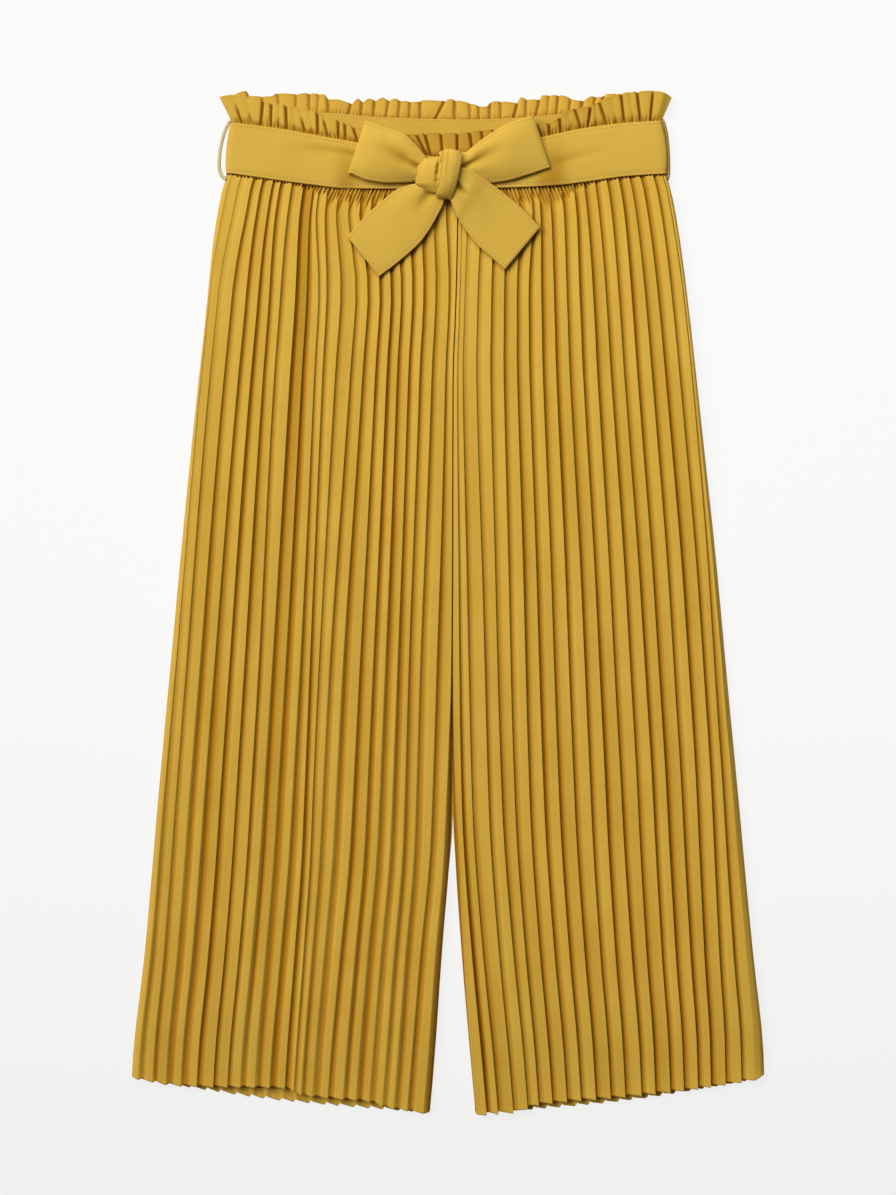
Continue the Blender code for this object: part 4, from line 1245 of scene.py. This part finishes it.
LOOP_RIGHT = (
    Section(3.0, 335.6, 3.0, 325.4, 14.0, 12.6, 2.0),
    Section(11.4, 339.8, 11.0, 323.6, 14.8, 12.6, 2.8),
    Section(25.4, 351.0, 28.6, 318.2, 14.8, 12.6, 3.8),
    Section(42.3, 361.8, 45.6, 320.2, 14.8, 13.4, 4.2),
    Section(57.0, 367.8, 60.5, 324.6, 14.6, 13.6, 2.8),
    Section(63.4, 369.4, 74.4, 329.2, 14.2, 13.8, 1.4),
    Section(65.2, 369.9, 77.8, 330.2, 13.4, 13.2, 0.4),
    Section(65.4, 369.8, 78.2, 330.2, 12.4, 12.2, 0.0),
    Section(64.2, 369.0, 76.0, 329.4, 11.3, 11.3, 0.0),
    Section(60.0, 367.0, 67.0, 327.0, 10.7, 10.7, 0.0),
    Section(38.0, 357.4, 42.0, 322.4, 10.7, 10.7, 0.0),
    Section(10.0, 336.6, 10.0, 326.0, 10.7, 10.7, 0.0),
)
LOOP_LEFT_CREASES = (
    Crease(-19.0, 328.4, -42.0, 341.0, 1.7, 3.4, 0.55),
    Crease(-34.0, 337.0, -60.0, 352.0, 4.2, 1.5, 0.2),
    Crease(-30.0, 331.0, -72.0, 350.0, 13.0, 0.0, 0.14),
    Crease(-20.0, 324.0, -54.0, 334.0, 5.0, -0.9),
    Crease(-18.0, 337.0, -46.0, 357.0, 4.0, -0.5),
)
LOOP_RIGHT_CREASES = (
    Crease(8.0, 328.6, 34.0, 341.0, 1.6, 3.4, 0.55),
    Crease(24.0, 337.0, 50.0, 349.0, 3.8, 1.4, 0.2),
    Crease(14.0, 327.0, 48.0, 333.0, 4.0, -0.9),
    Crease(10.0, 334.6, 44.0, 354.0, 3.4, -0.6),
)
left_loop, right_loop = Strip(LOOP_LEFT, LOOP_LEFT_CREASES), Strip(LOOP_RIGHT, LOOP_RIGHT_CREASES)
loop_left = belt_strip("bow_loop_left_cloth", left_loop, "bow_loop_left")
loop_right = belt_strip("bow_loop_right_cloth", right_loop, "bow_loop_right")
left_loop_stitches = sew("loop_left_stitches", *left_loop.both_edges(0, 5))
right_loop_stitches = sew("loop_right_stitches", *right_loop.both_edges(0, 6))

# %% [markdown]
# The tails run down from the knot to square, topstitched ends. The right one lies over the corner of the
# right loop, so it starts higher.

# %% Make the bow's tails
TAIL_LEFT = (
    Section(-17.0, 319.0, -2.6, 311.0, 13.2, 13.2, 1.4),
    Section(-27.0, 317.6, -2.8, 304.4, 12.9, 13.6, 1.4),
    Section(-37.0, 314.5, -8.4, 292.2, 12.2, 13.2, 1.2),
    Section(-50.3, 304.5, -19.4, 275.2, 11.6, 12.2, 0.9),
    Section(-62.6, 293.4, -35.8, 259.9, 11.3, 11.5, 0.7),
    Section(-76.0, 277.8, -52.0, 247.6, 11.2, 11.0, 0.5),
)
TAIL_RIGHT = (
    Section(0.0, 310.0, 6.0, 331.0, 14.2, 16.0, 1.0),
    Section(3.0, 303.4, 15.3, 328.6, 14.6, 17.4, 1.0),
    Section(6.6, 294.4, 22.2, 325.2, 14.2, 17.0, 1.1),
    Section(10.8, 287.4, 34.0, 317.4, 12.9, 14.2, 1.1),
    Section(22.2, 272.2, 50.2, 305.0, 12.1, 12.4, 0.7),
    Section(33.4, 262.2, 60.8, 295.4, 11.8, 12.2, 0.5),
    Section(43.8, 253.0, 70.4, 284.8, 11.8, 12.0, 0.4),
)
TAIL_LEFT_CREASES = (
    Crease(-12.0, 313.0, -27.0, 293.0, 3.2, 2.0, 0.4),
    Crease(-22.0, 314.0, -50.0, 288.0, 6.0, -0.7),
)
TAIL_RIGHT_CREASES = (
    Crease(6.4, 317.6, 19.0, 305.0, 1.7, 3.4, 0.55),
    Crease(5.0, 312.0, 14.0, 296.0, 2.6, -0.7),
    Crease(16.0, 312.0, 36.0, 286.0, 6.0, -0.8),
)
left_tail, right_tail = Strip(TAIL_LEFT, TAIL_LEFT_CREASES), Strip(TAIL_RIGHT, TAIL_RIGHT_CREASES)
tail_left = belt_strip("bow_tail_left_cloth", left_tail, "bow_tail_left")
tail_right = belt_strip("bow_tail_right_cloth", right_tail, "bow_tail_right")


def tail_stitches(name, tail):
    """Both long edges and the cut end."""
    last = len(tail.sections) - 1
    end_row = last - STITCH_INSET / math.dist(tail.sections[-1][:2], tail.sections[-2][:2])
    shares = [0.06 + 0.88 * step / EDGE_POINTS for step in range(EDGE_POINTS + 1)]
    end = [(x, y, z + STITCH_PROUD) for x, y, z, _ in (tail.place(share, end_row) for share in shares)]
    return sew(name, *tail.both_edges(0, end_row), end)


left_tail_stitches = tail_stitches("tail_left_stitches", left_tail)
right_tail_stitches = tail_stitches("tail_right_stitches", right_tail)

# %% [markdown]
# The knot shows two turns of the belt. The lobe on the left comes up from below and goes under the band,
# and the band crosses everything from top to bottom. A ball of cloth would show neither.

# %% Tie the knot
KNOT_LOBE = (
    Section(-15.0, 335.0, -4.5, 336.5, 12.4, 13.5, 0.3),
    Section(-17.6, 337.2, -4.8, 338.6, 14.2, 17.0, 0.8),
    Section(-20.4, 334.8, -4.6, 336.4, 15.6, 19.4, 2.6),
    Section(-23.2, 329.8, -4.6, 331.0, 16.0, 20.8, 3.4),
    Section(-24.6, 323.6, -3.6, 324.2, 15.8, 21.0, 3.6),
    Section(-24.4, 318.2, -3.4, 318.6, 15.0, 20.6, 3.4),
    Section(-19.6, 314.7, -3.6, 313.6, 14.6, 19.0, 2.8),
    Section(-13.4, 311.0, -5.0, 309.8, 14.0, 16.4, 1.6),
    Section(-10.5, 310.8, -5.4, 309.2, 12.4, 13.4, 0.4),
)
KNOT_BAND = (
    Section(-3.6, 339.0, 8.2, 339.0, 12.6, 12.6, 0.3, 1.6),
    Section(-6.4, 341.2, 9.6, 341.0, 15.4, 15.4, 1.0, 2.8),
    Section(-6.8, 340.9, 10.6, 340.8, 18.6, 18.4, 2.0, 2.9),
    Section(-5.6, 338.0, 11.1, 338.2, 21.2, 20.6, 2.2, 2.0),
    Section(-4.7, 333.6, 10.7, 333.4, 22.6, 21.8, 2.2),
    Section(-6.7, 328.8, 9.6, 328.2, 22.8, 22.0, 2.2),
    Section(-7.2, 323.6, 8.5, 323.0, 22.8, 21.8, 2.1),
    Section(-5.9, 318.4, 7.3, 317.8, 22.2, 21.0, 2.1),
    Section(-6.9, 313.6, 6.1, 312.8, 20.6, 19.2, 2.1),
    Section(-8.6, 309.0, 4.4, 308.0, 17.8, 16.6, 1.8),
    Section(-7.2, 306.8, 3.0, 305.6, 14.6, 14.0, 1.0),
    Section(-4.6, 308.4, 1.6, 307.4, 12.0, 12.0, 0.3),
)
LOBE_CREASES = (
    Crease(-7.4, 330.0, -9.8, 309.0, 1.0, 1.8, 0.5),
    Crease(-7.0, 326.6, -11.4, 322.4, 0.7, 1.0, 0.35),
    Crease(-7.6, 320.0, -11.6, 317.2, 0.7, 0.8, 0.3),
    Crease(-12.0, 337.0, -15.0, 326.0, 2.6, 0.6, 0.1),
)
BAND_CREASES = (
    Crease(1.2, 340.0, -1.4, 310.0, 1.5, 0.7, 0.1),
    Crease(-3.4, 341.6, -5.0, 314.0, 0.85, 1.0, 0.3),
)
KNOT_STEP, KNOT_WALL = 0.6, 0.9
lobe, band = Strip(KNOT_LOBE, LOBE_CREASES), Strip(KNOT_BAND, BAND_CREASES)
knot_lobe = belt_strip("bow_knot_lobe", lobe, "bow_knot", KNOT_STEP, KNOT_WALL)
knot_band = belt_strip("bow_knot_band", band, "bow_knot", KNOT_STEP, KNOT_WALL)
knot_stitches = sew("knot_stitches", lobe.edge_row(1.5, 6.5, False), band.edge_row(2, 10, True))

# %% [markdown]
# ## Thread loops
# The belt goes through a loop of twisted thread at each side seam. Three strands wind round each other
# along the loop's route. A plain tube would look like wire.

# %% Twist the thread loops
THREAD_LEFT = (
    (-162.6, 367.6), (-165.8, 365.6), (-169.6, 358.0), (-172.0, 349.0), (-173.4, 340.0), (-173.7, 332.0),
    (-172.0, 325.5), (-168.6, 321.8),
)
THREAD_RIGHT = (
    (160.8, 368.6), (163.6, 366.4), (166.2, 358.0), (167.4, 349.0), (168.0, 340.0), (168.2, 332.0),
    (168.0, 326.0), (167.0, 321.8),
)
THREAD_Z = 5.4
STRANDS, STRAND_HALF, TWIST_HALF, TWIST_PITCH = 3, 0.82, 0.72, 5.4
THREAD_STEPS = 16        # points of a strand from one place of its route to the next


def thread_loop(node, route, material):
    x_at, y_at = (through_rows(column) for column in zip(*route))
    steps = THREAD_STEPS * (len(route) - 1)
    rows = [step / THREAD_STEPS for step in range(steps + 1)]
    path = [Vector((x_at(row), y_at(row), THREAD_Z)) for row in rows]
    run = measure_run(path)
    name = node + "_thread"
    curve = bpy.data.curves.new(name, "CURVE")
    curve.dimensions = "3D"
    curve.bevel_depth = STRAND_HALF * MM
    curve.bevel_resolution = 1
    curve.use_fill_caps = True
    for strand in range(STRANDS):
        spline = curve.splines.new("POLY")
        spline.points.add(steps)
        for step, point in enumerate(spline.points):
            ahead = (path[min(step + 1, steps)] - path[max(step - 1, 0)]).normalized()
            side = Vector((-ahead.y, ahead.x, 0.0))
            angle = 2 * math.pi * (run[step] / TWIST_PITCH + strand / STRANDS)
            offset = side * math.cos(angle) + Vector((0, 0, 1)) * math.sin(angle)
            point.co = (*((path[step] + offset * TWIST_HALF) * MM), 1.0)
    curve.materials.append(material)
    piece = bpy.data.objects.new(name, curve)
    bpy.context.scene.collection.objects.link(piece)
    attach(piece, "root")
    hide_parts(node)
    return run[-1]


lengths = [
    thread_loop("belt_loop_left", THREAD_LEFT, pale_thread),
    thread_loop("belt_loop_right", THREAD_RIGHT, tan_thread),
]
print("thread loops, mm:", [round(length, 1) for length in lengths])
